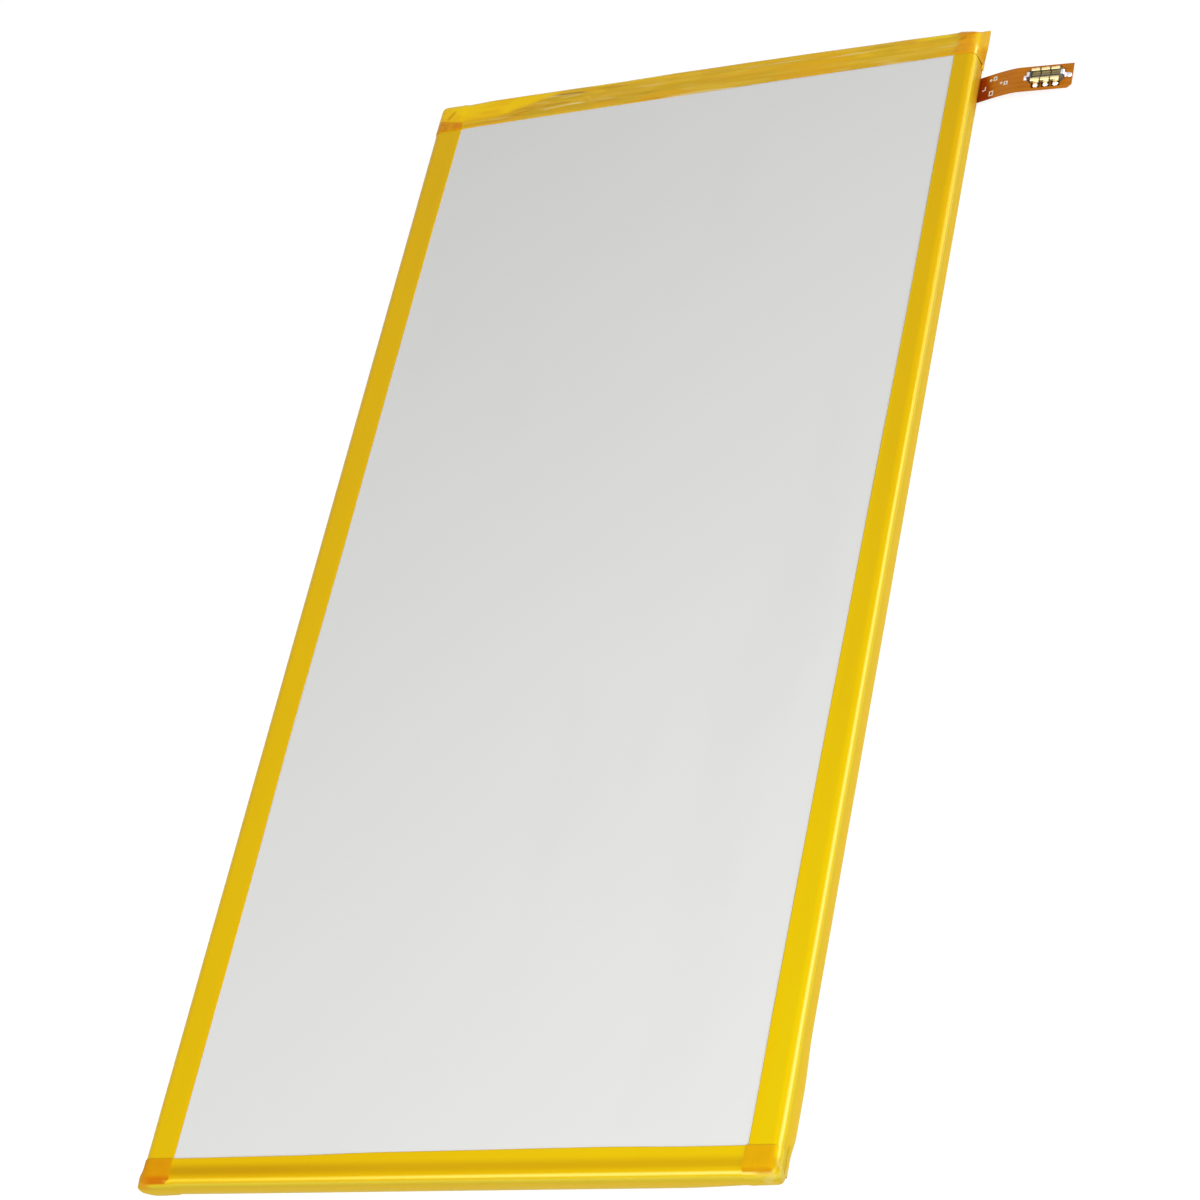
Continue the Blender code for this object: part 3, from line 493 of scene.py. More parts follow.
def side_film(name, tones, strip, inner_edge):
    """A side tape: a warmer strip along its inner edge, and a painted red-brown shade round the flex
    tail's exit.
    """
    film = FilmGraph(name, True, tones)
    x, y, z = film.place()
    film.lay(strip, film.band(x, inner_edge - 0.5, inner_edge + 0.5, 0.2), 0.6)
    drop = film.math("MULTIPLY", film.step(y, 0.0, 35.0), 0.17)
    height = film.math("ADD", z, drop)
    film.down_the_side(height, SIDE_TONE_AND_SHADE)
    # Painted shade, red-brown, down the side by the flex tail's exit
    by_exit = film.band(y, EXIT_LOW - 1.5, EXIT_HIGH + 1.5, 0.8)
    film.lay(EXIT_SHADE, film.both(by_exit, film.step(z, 2.2, 1.2)), 0.45)
    return film.done(height, highlight_low=2.51)


def bottom_film():
    """The bottom tape: shaded above its fold, with an ear at its left end."""
    film = FilmGraph("film_bottom_skin", False, BOTTOM_TAPE)
    x, y, z = film.place()
    shade = film.band(y, 0.5 - HALF_LENGTH, 1.75 - HALF_LENGTH, 0.5)
    depth = film.math("MULTIPLY_ADD", film.step(x, -24.0, -4.0), -0.3, 1.0)
    film.lay(SHADE, film.both(shade, depth))
    film.down_the_side(z, BOTTOM_TONE_AND_SHADE)
    lay_bottom_doubles(film)
    film.lay(EAR_LIP, film.both(film.step(x, -33.6, -34.6), film.step(z, 1.3, 1.9)), 0.8)
    # Painted pale reflections in the crinkled film at the right corner
    corner = film.both(film.step(x, 32.2, 33.6), film.step(y, -71.6, -72.6))
    crinkle_reflections = film.patches(1500.0, 0.45, 0.6, (0.6, 1.0, 1.0))
    film.lay(CRINKLE_REFLECTION, film.both(crinkle_reflections, corner, film.step(z, 2.9, 2.6)), 0.35)
    # The painted fold highlight fades out over the ear and the right corner, where the film is
    # duller, and is fainter towards the left
    ear = film.step(x, -31.2, -32.6)
    lost = film.math("MAXIMUM", ear, film.math("MULTIPLY", corner, 0.8))
    faint = film.math("MULTIPLY_ADD", film.step(x, -30.0, 0.0), 0.35, 0.65)
    return film.done(z, film.both(film.math("SUBTRACT", 1.0, lost), faint))


def lay_bottom_doubles(film):
    """The bottom tape over the side tapes' ends: a deeper tone with darker blotches, and painted
    shade along the fold.
    """
    x, y, z = film.place()
    x_soft = film.wobble(x, 0.08, 400.0)
    y_soft = film.wobble(y, 0.15, 500.0)
    x_left = film.math("MULTIPLY_ADD", film.step(z, 2.95, 2.5), 0.6, x_soft)
    left_edge = LEFT_FLAP - HALF_WIDTH
    left = film.step(x_left, left_edge + DOUBLE_EDGE, left_edge - DOUBLE_EDGE)
    right_edge = HALF_WIDTH - RIGHT_FLAP_BOTTOM - 0.15
    right = film.step(x_soft, right_edge - DOUBLE_EDGE, right_edge + DOUBLE_EDGE)
    right = film.both(right, film.step(x_soft, HALF_WIDTH - 0.3, HALF_WIDTH - 0.6))
    blotch = film.patches(700.0, 0.35, 0.7)
    # Painted shade along the fold, where the film starts to turn over the edge
    fold = film.band(y_soft, -HALF_LENGTH - 0.3, -HALF_LENGTH + 0.6, 0.3)
    for double, low, (deep, blotch_and_fold_shade) in (
        (left, 2.45, BOTTOM_LEFT_DOUBLE),
        (right, 2.65, BOTTOM_RIGHT_DOUBLE),
    ):
        deep = film.mix(film.tint(deep, blotch_and_fold_shade, blotch, 0.2), blotch_and_fold_shade, fold)
        film.lay(deep, film.both(double, film.step(z, low - 0.12, low + 0.12)))


def top_film():
    """Bright by the left corner, then streaked and browned where it covers the board."""
    film = FilmGraph("film_top_skin", False, TOP_TAPE)
    x, y, z = film.place()
    film.lay(WARM_PATCH, film.patches(420.0, 0.5, 0.62, (0.4, 1.0, 1.0)), 0.5)
    film.lay(INNER_EDGE, film.step(film.wobble(y, 0.3, 200.0), 71.0, 70.4), 0.9)
    lay_board_tones(film)
    for start, end, width, tone, share in STREAKS:
        film.lay(tone, film.stroke(start, end, width, STREAK_END), share)
    lay_top_left_double(film)
    lay_top_right_double(film)
    # The painted fold highlight is mostly left off the loose flag, which is duller there
    flag = film.both(film.step(x, 33.4, 34.2), film.step(y, 70.6, 71.6))
    return film.done(z, film.math("SUBTRACT", 1.0, film.math("MULTIPLY", flag, 0.9)))


def lay_board_tones(film):
    """Tan, mottled and lined with glints where the film is stuck down over the board."""
    x, y, _ = film.place()
    slope = -3.2
    begin = -23.9 + slope * 71.4
    slanted = film.math("MULTIPLY_ADD", y, slope, film.wobble(x, 1.1, 600.0))
    begun = film.step(slanted, begin - 1.2, begin + 1.2)
    broad = film.noise(90.0, 3.0, (0.4, 1.0, 1.0))
    fade = film.math("MULTIPLY_ADD", broad, 0.9, 0.4, clamp=True)
    over_board = film.both(begun, film.step(x, 35.2, 34.2), fade)
    streak = film.patches(1700.0, 0.36, 0.64, (0.05, 1.0, 1.0), detail=4.0)
    tan = film.mix(TAN, PALE_TAN, film.math("MULTIPLY_ADD", streak, 0.6, 0.15))
    tan = film.tint(tan, WARM_TAN, film.patches(260.0, 0.5, 0.62, (0.3, 1.0, 1.0)), 0.6)
    tan = film.tint(tan, MOTTLED_TAN, film.patches(800.0, 0.48, 0.64, (0.3, 1.0, 1.0)), 0.4)
    film.lay(tan, over_board)
    # Painted light: the film is lightened along the top edge, where it starts to fold
    film.lay(AMBER, film.both(film.step(y, 72.7, 73.1), over_board), 0.3)
    glint = film.patches(2100.0, 0.62, 0.72, (0.05, 1.0, 1.0), detail=2.0)
    film.lay(GLINT, film.both(glint, over_board), 0.5)
    dark = film.patches(1900.0, 0.35, 0.29, (0.07, 1.0, 1.0), detail=2.0)
    film.lay(BROWN, film.both(dark, over_board), 0.3)


def lay_top_left_double(film):
    """The left tape's slanting end under the film, redder inwards, and the crease above it, with
    painted shade along it and a painted highlight beside it.
    """
    x, y, _ = film.place()
    tilt = 0.18
    end = LEFT_TAPE_END - tilt * (HALF_WIDTH - 1.4)
    tilted = film.math("MULTIPLY_ADD", x, tilt, film.wobble(y, 0.15, 500.0))
    over_end = film.step(tilted, end + 0.08, end - 0.08)
    edge = LEFT_FLAP + LEFT_WANDER[-1][1] - HALF_WIDTH
    left = film.step(film.wobble(x, 0.1, 350.0), edge + DOUBLE_EDGE, edge - DOUBLE_EDGE)
    deep = film.tint(*TOP_LEFT_DOUBLE, film.patches(900.0, 0.4, 0.65), 0.8)
    deep = film.tint(deep, TOP_LEFT_RED, film.stroke((-32.5, 69.9), (-31.0, 69.9), 0.9, 0.4), 0.55)
    film.lay(deep, film.both(left, over_end), 0.9)
    # Painted highlight beside the crease, and painted shade along it
    film.lay(CREASE_HIGHLIGHT, film.stroke((-34.1, 71.6), (-33.5, 72.5), 0.5, 0.3), 0.6)
    film.lay(CREASE_SHADE, film.stroke(CREASE_START, CREASE_END, 0.4, 0.3), 0.75)


def lay_top_right_double(film):
    """The right tape's end under the film, smudged, and the flag that stands off past it."""
    x, y, _ = film.place()
    start = HALF_WIDTH - RIGHT_FLAP_TOP + 0.1
    right = film.band(film.wobble(x, 0.5, 500.0), start, HALF_WIDTH - 0.35, 0.35)
    mottle = film.patches(800.0, 0.4, 0.66, (0.45, 1.0, 1.0))
    deep = film.tint(*TOP_RIGHT_DOUBLE, mottle, 0.8)
    smudge = film.stroke((32.5, 71.85), (33.6, 72.25), 0.4, 0.3)
    film.lay(film.tint(deep, TOP_RIGHT_SMUDGE, smudge, 0.6), right, 0.95)
    film.lay(FLAG_TONE, film.step(x, HALF_WIDTH - 0.1, HALF_WIDTH + 0.3), 0.6)
    film.lay(FLAG_SPOT, film.both(film.band(x, 35.1, 36.5, 0.3), film.band(y, 69.8, 71.2, 0.4)), 0.8)


def laminate():
    """Satin nylon face of the pouch: near-white grey with faint smudges."""
    graph = Graph("pouch_laminate_skin")
    colour = graph.mix((0.69, 0.69, 0.672), (0.71, 0.71, 0.70), graph.noise(22.0, 3.0))
    smudge = graph.patches(60.0, 0.58, 0.75, (1.0, 0.3, 1.0), detail=2.0)
    colour = graph.tint(colour, (0.64, 0.645, 0.64), smudge, 0.25)
    graph.bump(graph.noise(2500.0), 0.1, 0.01)
    return graph.finish(colour, graph.varied(0.42, 0.52, 40.0), specular=0.3)


def solder_mask():
    """Green mask over copper tracks."""
    graph = Graph("solder_mask_skin")
    traces = graph.step(graph.wave(900.0), 0.45, 0.55)
    colour = graph.mix((0.012, 0.085, 0.035), (0.02, 0.13, 0.05), traces)
    graph.bump(traces, 0.3, 0.03)
    return graph.finish(colour, graph.varied(0.3, 0.42, 400.0))


def plain_skin(name):
    """A material from the plain ones' table: two tones that a noise mixes."""
    tones, grain, rough, relief, metallic = PLAIN_SKINS[name]
    graph = Graph(name + "_skin")
    if relief:
        height, strength, depth = relief
        graph.bump(graph.noise(*height), strength, depth)
    colour = graph.mix(*tones, graph.noise(*grain))
    return graph.finish(colour, graph.varied(*rough), metallic=metallic)


def flex_film():
    """Coverlay over copper: darker red where the tail leaves the tape."""
    graph = Graph("flex_film_skin")
    x, y, _ = graph.place()
    traces = graph.step(graph.wave(420.0), 0.35, 0.65)
    copper = graph.mix((0.45, 0.122, 0.004), (0.49, 0.142, 0.006), traces)
    copper = graph.tint(copper, (0.6, 0.22, 0.01), graph.noise(600.0, 3.0), 0.3)
    slanted = graph.math("MULTIPLY_ADD", y, DARK_SLANT, x)
    start = DARK_END + DARK_SLANT * PAD_MIDDLE.y
    past_end = graph.step(slanted, start - 0.6, start + 0.7)
    colour = graph.mix((0.26, 0.022, 0.002), copper, past_end)
    graph.bump(traces, 0.15, 0.01)
    graph.shader.inputs["Specular Tint"].default_value = (*SPECULAR_TINT, 1.0)
    return graph.finish(colour, graph.varied(0.25, 0.38, 900.0), specular=0.3)


def plug_plastic():
    """Grey-brown moulding, nearly black at its left end."""
    graph = Graph("plug_plastic_skin")
    x, _, _ = graph.place()
    colour = graph.mix((0.1, 0.095, 0.06), (0.17, 0.155, 0.105), graph.noise(3500.0, 3.0))
    left_end = graph.step(x, PAD_MIDDLE.x - 1.6, PAD_MIDDLE.x - 1.8)
    colour = graph.mix(colour, (0.02, 0.025, 0.04), left_end)
    graph.bump(graph.noise(9000.0), 0.2, 0.01)
    return graph.finish(colour, graph.varied(0.3, 0.45, 1500.0))


def gold():
    """Bright on the walls' tops, with painted shade down in the trough and on the outer legs by the
    feet.
    """
    graph = Graph("gold_plate_skin")
    x, y, z = graph.place()
    slope = math.tan(math.radians(PAD_SLOPE))
    height = graph.math("MULTIPLY_ADD", x, slope, z)
    height = graph.math("SUBTRACT", height, PAD_MIDDLE.z + PAD_MIDDLE.x * slope)
    colour = graph.mix((0.93, 0.7, 0.28), (0.97, 0.8, 0.44), graph.noise(4000.0))
    inside = graph.band(y, PAD_MIDDLE.y - 0.67, PAD_MIDDLE.y + 0.67, 0.02)
    # Painted shade down in the trough, on the inner legs and floor
    trough_shade = graph.mix((0.2, 0.175, 0.09), (0.36, 0.31, 0.2), graph.noise(2500.0, 3.0))
    colour = graph.mix(colour, trough_shade, graph.both(inside, graph.step(height, 0.74, 0.68)))
    outside = graph.math("SUBTRACT", 1.0, inside)
    # Painted shade, nearly black, down the outer legs by the feet
    leg = graph.both(graph.step(height, 0.34, 0.26), outside)
    colour = graph.mix(colour, (0.035, 0.025, 0.015), leg)
    return graph.finish(colour, graph.varied(0.18, 0.3, 3000.0), metallic=1.0)


def silver():
    """Bright tin and solder, with darker dimples."""
    graph = Graph("silver_plate_skin")
    colour = graph.mix((0.62, 0.6, 0.66), (0.86, 0.84, 0.88), graph.patches(3000.0, 0.4, 0.6))
    return graph.finish(colour, graph.varied(0.12, 0.25, 3000.0), metallic=1.0)


def add_object(name, data):
    made = bpy.data.objects.new(name, data)
    bpy.context.scene.collection.objects.link(made)
    return made


def add_mesh(name, bm, material):
    """An object made from a bmesh, all in one material."""
    mesh = bpy.data.meshes.new(name)
    bm.to_mesh(mesh)
    bm.free()
    mesh.materials.append(material)
    return add_object(name, mesh)


def waves(s, d, length, width, seed):
    """Soft unevenness, in waves about that long along a tape and that wide across it."""
    return noise.noise(Vector((s / length, d / width, seed)))


def wrinkles(s, d):
    """The top tape's creases over the board: long, low and nearly lengthwise."""
    over_board = smooth(BOARD_START - 2.0, BOARD_START + 2.5, s)
    near_edge = smooth(HALF_LENGTH - TOP_FLAP, HALF_LENGTH - TOP_FLAP + 0.4, d)
    fine = waves(s, d, 7.0, 0.5, 4.0)
    broad = waves(s, d, 16.0, 1.2, 9.0)
    lift = (0.05 * fine + 0.08 * broad) * over_board * near_edge
    return lift + crease(s, d, CREASE_START, CREASE_END, 0.008, 0.35)


def crease(s, d, start, end, height, width):
    """A raised fold along a line from start to end."""
    start = Vector(start)
    run = Vector(end) - start
    along = min(max((Vector((s, d)) - start).dot(run) / run.length_squared, 0.0), 1.0)
    away = (Vector((s, d)) - start - run * along).length
    return height * math.exp(-((away / width) ** 2))


@dataclass
class End:
    """How a tape finishes at one corner of the pack.

    The film hugs the rounded corner down to a snug rim, where its two halves are stuck
    together. A loose end also slopes out to a second rim at the tape's outer edge. The
    slope begins at start, and it grows over the distances out that rise gives. Rims are
    pairs of place and height; corner is the radius that the fold turns in on.
    """

    snug: tuple
    corner: float
    loose: tuple = None
    start: float = 0.0
    rise: tuple = (0.0, 1.0)
    bulge: float = 0.0
    radius: float = EDGE_RADIUS + 2 * LAYER

    def __post_init__(self):
        self.rim = (self.loose or self.snug)[0]
        self.turn = HALF_WIDTH + LAYER - self.radius

    def stands(self, d):
        """How much of the loose way the film takes at a distance out."""
        return smooth(*self.rise, d) if self.loose else 0.0

    def hug(self, t, top, bottom):
        """Place, top and bottom on the snug way to the rim."""
        angle = HUG_ANGLE * min(t / HUG_SHARE, 1.0)
        drop = self.radius * (1.0 - math.cos(angle))
        past = max(t - HUG_SHARE, 0.0) / (1.0 - HUG_SHARE)
        return (
            mix(self.turn + self.radius * math.sin(angle), self.snug[0], past),
            mix(top - drop, self.snug[1] + FILM, past),
            mix(bottom + drop, self.snug[1] - FILM, past),
        )

    def slope(self, reach, top, bottom):
        """Place, top and bottom on the loose way to the rim."""
        if not self.loose:
            return reach, top, bottom
        fall = max(reach - self.start, 0.0) / (self.rim - self.start)
        curl = max(reach - self.turn, 0.0) / (self.rim - self.turn)
        height = self.loose[1]
        return reach, mix(top, height + FILM, fall**1.7), mix(bottom, height - FILM, curl**1.3)

    def over_fold(self, s, top):
        """The height that clears the side tape's fold at s, until the fold turns steep."""
        out = max(abs(s) - self.turn, 0.0)
        past = min(out, 0.7 * self.radius)
        return top - self.radius + math.sqrt(self.radius**2 - past**2) - max(out - past, 0.0)


@dataclass
class Tape:
    """A film that folds round one edge of the pack.

    s runs along the edge and d is the distance out from the pack's middle line; place
    turns them into x and y. layer is how many tapes lie under the film's ends, and under
    is the width of the right tape's flap there. At s, front and back are the flaps'
    edges, back_radius is the back fold's radius, eased is how much tighter the front
    fold is than the pack's edge, and flare is how far the back fold stands out past it.
    """

    name: str
    place: object
    edge: float
    along: tuple
    front: object
    back: object
    layer: int
    ends: dict = field(default_factory=dict)
    back_radius: object = level(0.5)
    eased: object = level(0.0)
    flare: object = level(0.0)
    under: float = 0.0
    wrinkled: bool = False
    slotted: bool = False

    def __post_init__(self):
        depth = LAYER * (self.layer + 1)
        self.top = FACE_TOP - PRESS + depth
        self.bottom = FACE_BOTTOM + PRESS - depth
        self.radius = EDGE_RADIUS + depth

    def end_at(self, s):
        return self.ends.get(1 if s > 0 else -1)

    def stations(self):
        """Snug and loose (place, top, bottom) along the tape, end to end."""
        low = -self.ends[-1].turn if -1 in self.ends else self.along[0]
        high = self.ends[1].turn if 1 in self.ends else self.along[1]
        made = []
        for s in spread(low, high, 0.35):
            end = self.end_at(s)
            flat = (s, self.top, self.bottom)
            sloped = (s, *end.slope(abs(s), self.top, self.bottom)[1:]) if end else flat
            made.append((flat, sloped))
        for side, end in self.ends.items():
            steps = self.end_stations(side, end)
            made = made + steps if side > 0 else steps[::-1] + made
        return made

    def end_stations(self, side, end):
        """The stations from where the corner turns down to the rim."""
        steps = []
        for t in spread(0.0, 1.0, 0.05)[1:]:
            snug = end.hug(t, self.top, self.bottom)
            loose = snug
            if end.loose:
                loose = end.slope(mix(end.turn, end.rim, t), self.top, self.bottom)
            steps.append(tuple((side * reach, top, bottom) for reach, top, bottom in (snug, loose)))
        return steps

    def reach(self, s):
        """How far out the fold stands at s: less where the corner turns in."""
        end = self.end_at(s)
        if end is None:
            return self.edge
        edge = self.edge + end.bulge * smooth(31.0, 34.6, abs(s))
        into = min(max(abs(s) - (end.rim - end.corner), 0.0), end.corner)
        return edge - end.corner + math.sqrt(end.corner**2 - into**2)

    def profile(self, s, out, top, bottom):
        """Distance out, height and normal of the points from front flap to back flap."""
        most = (top - bottom) / 2 * 0.98
        upper = min(self.radius - self.eased(s), most)
        lower = min(self.back_radius(s), most)
        front = min(self.front(s) - FLAP_LAP, out - upper)
        back = min(self.back(s), out - lower)
        points = [(mix(front, out - upper, u), top, 0.0, 1.0) for u in spread(0.0, 1.0, 1 / 20)]
        points += self.turned(out - upper, top - upper, upper, 90, 0)
        for u in (0.25, 0.5, 0.75):
            points.append((out, mix(top - upper, bottom + lower, u), 1.0, 0.0))
        points += self.turned(out - lower, bottom + lower, lower, 0, -90)
        for u in spread(0.0, 1.0, 1 / 16)[1:]:
            points.append((mix(out - lower, back, u), bottom, 0.0, -1.0))
        return points

    @staticmethod
    def turned(d, z, radius, start, end, steps=9):
        """Points round a fold; angles in degrees."""
        points = []
        for share in spread(0.0, 1.0, 1 / steps)[1:]:
            angle = math.radians(mix(start, end, share))
            nd, nz = math.cos(angle), math.sin(angle)
            points.append((d + radius * nd, z + radius * nz, nd, nz))
        return points

    def section(self, station):
        """Place, distance out, height and normal of the points across the film."""
        (s, top, bottom), (loose_s, loose_top, loose_bottom) = station
        out = self.reach(loose_s)
        end = self.end_at(s)
        placed = []
        for d, z, nd, nz in self.profile(s, out, top, bottom):
            share = (z - bottom) / (top - bottom)
            across = s
            if end:
                stands = end.stands(d)
                tight = 1.0 - smooth(SIDE_TAPE_END, HALF_LENGTH - 0.4, d)
                tight *= 1.0 - smooth(HALF_WIDTH + LAYER, end.rim, abs(loose_s))
                held = mix(loose_top, max(loose_top, end.over_fold(loose_s, self.top)), tight)
                z = mix(mix(bottom, loose_bottom, stands), mix(top, held, stands), share)
                across = mix(s, loose_s, stands)
            d += self.flare(s) * smooth(out - 1.0, out, d) * (1.0 - share)
            placed.append((across, d, z, nd, nz))
        return placed

    def relief(self, s, d, nz):
        """How far the film stands off its plain shape, in millimetres."""
        lift = 0.012 * waves(s, d, 14.0, 2.5, 3.0 + self.edge + self.layer)
        if self.wrinkled and nz > -0.5:
            lift += wrinkles(s, d)
        if self.layer:
            lift -= LAYER * (1.0 - self.over_side_tape(s, nz))
        return lift

    def over_side_tape(self, s, nz):
        """1 where the film lies on a side tape's flap, 0 where it lies on the pouch."""
        left = LEFT_FLAP if nz > 0 else back_flap(SIDE_TAPE_WIDTH, LEFT_FLAP)
        right = self.under if nz > 0 else back_flap(SIDE_TAPE_WIDTH, self.under)
        on_left = 1.0 - smooth(left - HALF_WIDTH - 0.05, left - HALF_WIDTH + 0.2, s)
        on_right = smooth(HALF_WIDTH - right - 0.2, HALF_WIDTH - right + 0.05, s)
        return max(on_left, on_right)

    def bulge(self, x, y, nz):
        """The back of the film stands off where the flex leg runs under it."""
        if nz > -0.5:
            return 0.0
        across = smooth(FLEX_LEFT - 0.5, FLEX_LEFT, x) - smooth(FLEX_RIGHT, FLEX_RIGHT + 0.3, x)
        return FLEX_BULGE * across * smooth(EXIT_LOW - 0.6, EXIT_LOW, y) * -nz

    def cut_out(self, middle):
        """The slot in the right tape's edge that the flex tail leaves by."""
        if not self.slotted:
            return False
        along = EXIT_LOW < middle.y < EXIT_HIGH
        return along and middle.x > FLEX_RIGHT - 0.1 and middle.z < EXIT_TOP

    def build(self, material, cad_node):
        """The film as a piece that replaces its CAD node."""
        bm = bmesh.new()
        rows = []
        for station in self.stations():
            row = []
            for s, d, z, nd, nz in self.section(station):
                lift = self.relief(s, d, nz)
                x, y = self.place(s, d + nd * lift)
                z = z + nz * lift - self.bulge(x, y, nz)
                row.append(bm.verts.new((x * MM, y * MM, z * MM)))
            rows.append(row)
        for near, far in zip(rows, rows[1:]):
            for i in range(len(near) - 1):
                middle = (near[i].co + far[i + 1].co) / 2
                if not self.cut_out(middle / MM):
                    bm.faces.new((near[i], near[i + 1], far[i + 1], far[i]))
        self.finish(bm, material, cad_node)

    def finish(self, bm, material, cad_node):
        """Clean the sheet, face it outwards and give it its thickness."""
        loose = [v for v in bm.verts if not v.link_faces]
        bmesh.ops.delete(bm, geom=loose, context="VERTS")
        bmesh.ops.remove_doubles(bm, verts=bm.verts, dist=0.0005 * MM)
        bm.normal_update()
        flap = max(bm.faces, key=lambda face: face.calc_center_median().z)
        if flap.normal.z < 0:
            bmesh.ops.reverse_faces(bm, faces=bm.faces)
        piece = add_mesh(self.name, bm, material)
        piece.data.shade_smooth()
        film = piece.modifiers.new("film", "SOLIDIFY")
        film.thickness = FILM * MM
        film.offset = -1.0
        film.use_even_offset = False
        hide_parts(cad_node)
        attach(piece, "root")


def back_flap(tape_width, front_flap):
    """What the front flap and the pack's edge leave of a tape's width."""
    return tape_width - front_flap - THICKNESS


def build_left_tape():
    back = HALF_WIDTH - back_flap(SIDE_TAPE_WIDTH, LEFT_FLAP)
    tape = Tape(
        "film_left",
        lambda s, d: (-d, s),
        HALF_WIDTH,
        (-SIDE_TAPE_END, LEFT_TAPE_END),
        lambda s: HALF_WIDTH - LEFT_FLAP - wander(LEFT_WANDER, s),
        level(back),
        0,
    )
    skin = side_film("film_left_skin", LEFT_TAPE, LEFT_STRIP, LEFT_FLAP - HALF_WIDTH)
    tape.build(skin, "tape_left")


def build_right_tape():
    """The right tape flares a little at the back near the bottom, and has the exit's slot."""
    front = slant(HALF_WIDTH - RIGHT_FLAP_BOTTOM, HALF_WIDTH - RIGHT_FLAP_TOP, HALF_LENGTH)
    back_bottom = HALF_WIDTH - back_flap(SIDE_TAPE_WIDTH, RIGHT_FLAP_BOTTOM)
    back_top = HALF_WIDTH - back_flap(SIDE_TAPE_WIDTH, RIGHT_FLAP_TOP)
    tape = Tape(
        "film_right",
        lambda s, d: (d, s),
        HALF_WIDTH,
        (-SIDE_TAPE_END, SIDE_TAPE_END),
        lambda s: front(s) - wander(RIGHT_WANDER, s),
        slant(back_bottom, back_top, HALF_LENGTH),
        0,
        back_radius=level(0.4),
        flare=lambda s: 0.25 * (smooth(-71.0, -68.5, s) - smooth(-64.0, -57.0, s)),
        slotted=True,
    )
    inner = HALF_WIDTH - (RIGHT_FLAP_TOP + RIGHT_FLAP_BOTTOM) / 2
    skin = side_film("film_right_skin", RIGHT_TAPE, RIGHT_STRIP, inner)
    tape.build(skin, "tape_right")


def build_bottom_tape():
    """The bottom tape ends in a loose ear at the left and snug at the right."""
    front = slant(HALF_LENGTH - BOTTOM_FLAP_LEFT, HALF_LENGTH - BOTTOM_FLAP_RIGHT, HALF_WIDTH)
    back_left = HALF_LENGTH - back_flap(BOTTOM_TAPE_WIDTH, BOTTOM_FLAP_LEFT)
    back_right = HALF_LENGTH - back_flap(BOTTOM_TAPE_WIDTH, BOTTOM_FLAP_RIGHT)
    ear = End(
        (35.12, 1.2),
        0.85,
        loose=(36.15, 0.95),
        start=34.0,
        rise=(HALF_LENGTH - 2.0, HALF_LENGTH - 1.15),
        bulge=0.08,
    )
    tape = Tape(
        "film_bottom",
        lambda s, d: (s, -d),
        HALF_LENGTH,
        (-HALF_WIDTH, HALF_WIDTH),
        lambda s: front(s) - wander(BOTTOM_WANDER, s),
        slant(back_left, back_right, HALF_WIDTH),
        1,
        {-1: ear, 1: End((35.1, 1.2), 0.45)},
        back_radius=lambda s: mix(0.3, 1.0, smooth(24.0, 34.0, s)),
        under=RIGHT_FLAP_BOTTOM,
    )
    tape.build(bottom_film(), "tape_bottom")


def build_top_tape():
    """The top tape is snug at the left, and stands off as a flag at the right."""
    front = slant(HALF_LENGTH - TOP_FLAP_LEFT, HALF_LENGTH - TOP_FLAP_RIGHT, HALF_WIDTH)
    flag = End(
        (35.16, 0.5),
        0.15,
        loose=(36.02, 2.0),
        start=32.4,
        rise=(HALF_LENGTH - 4.2, HALF_LENGTH - 2.2),
    )
    tape = Tape(
        "film_top",
        lambda s, d: (s, d),
        HALF_LENGTH,
        (-HALF_WIDTH, HALF_WIDTH),
        lambda s: front(s) - wander(TOP_WANDER, s),
        level(HALF_LENGTH - back_flap(TOP_TAPE_WIDTH, TOP_FLAP)),
        1,
        {-1: End((35.12, 1.5), 0.7), 1: flag},
        back_radius=level(0.4),
        eased=lambda s: 0.3 * (smooth(-32.0, -27.0, s) - smooth(14.0, 24.0, s)),
        under=RIGHT_FLAP_TOP,
        wrinkled=True,
    )
    tape.build(top_film(), "tape_top")


def pad_point(x, y, z):
    """A place on the flex tail's pad, with z up from its film."""
    turn = Euler((0.0, math.radians(PAD_SLOPE), 0.0))
    offset = Vector((x, y, z + PAD_SURFACE))
    offset.rotate(turn)
    return (PAD_MIDDLE + offset) * MM


def solder_blob(bm, x, y, half_x, half_y, height, sides=24):
    """A solder joint: a rounded crown, nearly square in plan, that flows to the pad."""
    rings = []
    for share in (0.25, 0.45, 0.62, 0.76, 0.88, 0.96, 1.0):
        lift = height * (1.0 - share**2.5) ** 0.7
        ring = []
        for i in range(sides):
            angle = 2 * math.pi * i / sides
            plan = (math.cos(angle), math.sin(angle))
            across, along = (math.copysign(abs(v) ** 0.7, v) * share for v in plan)
            ring.append(bm.verts.new(pad_point(x + half_x * across, y + half_y * along, lift)))
        rings.append(ring)
    crown = bm.verts.new(pad_point(x, y, height))
    for i in range(sides):
        j = (i + 1) % sides
        bm.faces.new((crown, rings[0][i], rings[0][j]))
        for near, far in zip(rings, rings[1:]):
            bm.faces.new((near[i], far[i], far[j], near[j]))
    bm.faces.new(rings[-1][::-1])


def add_trim(name, bm, material):
    """A small piece of the scene's own, which covers no CAD node."""
    bmesh.ops.recalc_face_normals(bm, faces=bm.faces)
    piece = add_mesh(name, bm, material)
    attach(piece, "root")
    return piece


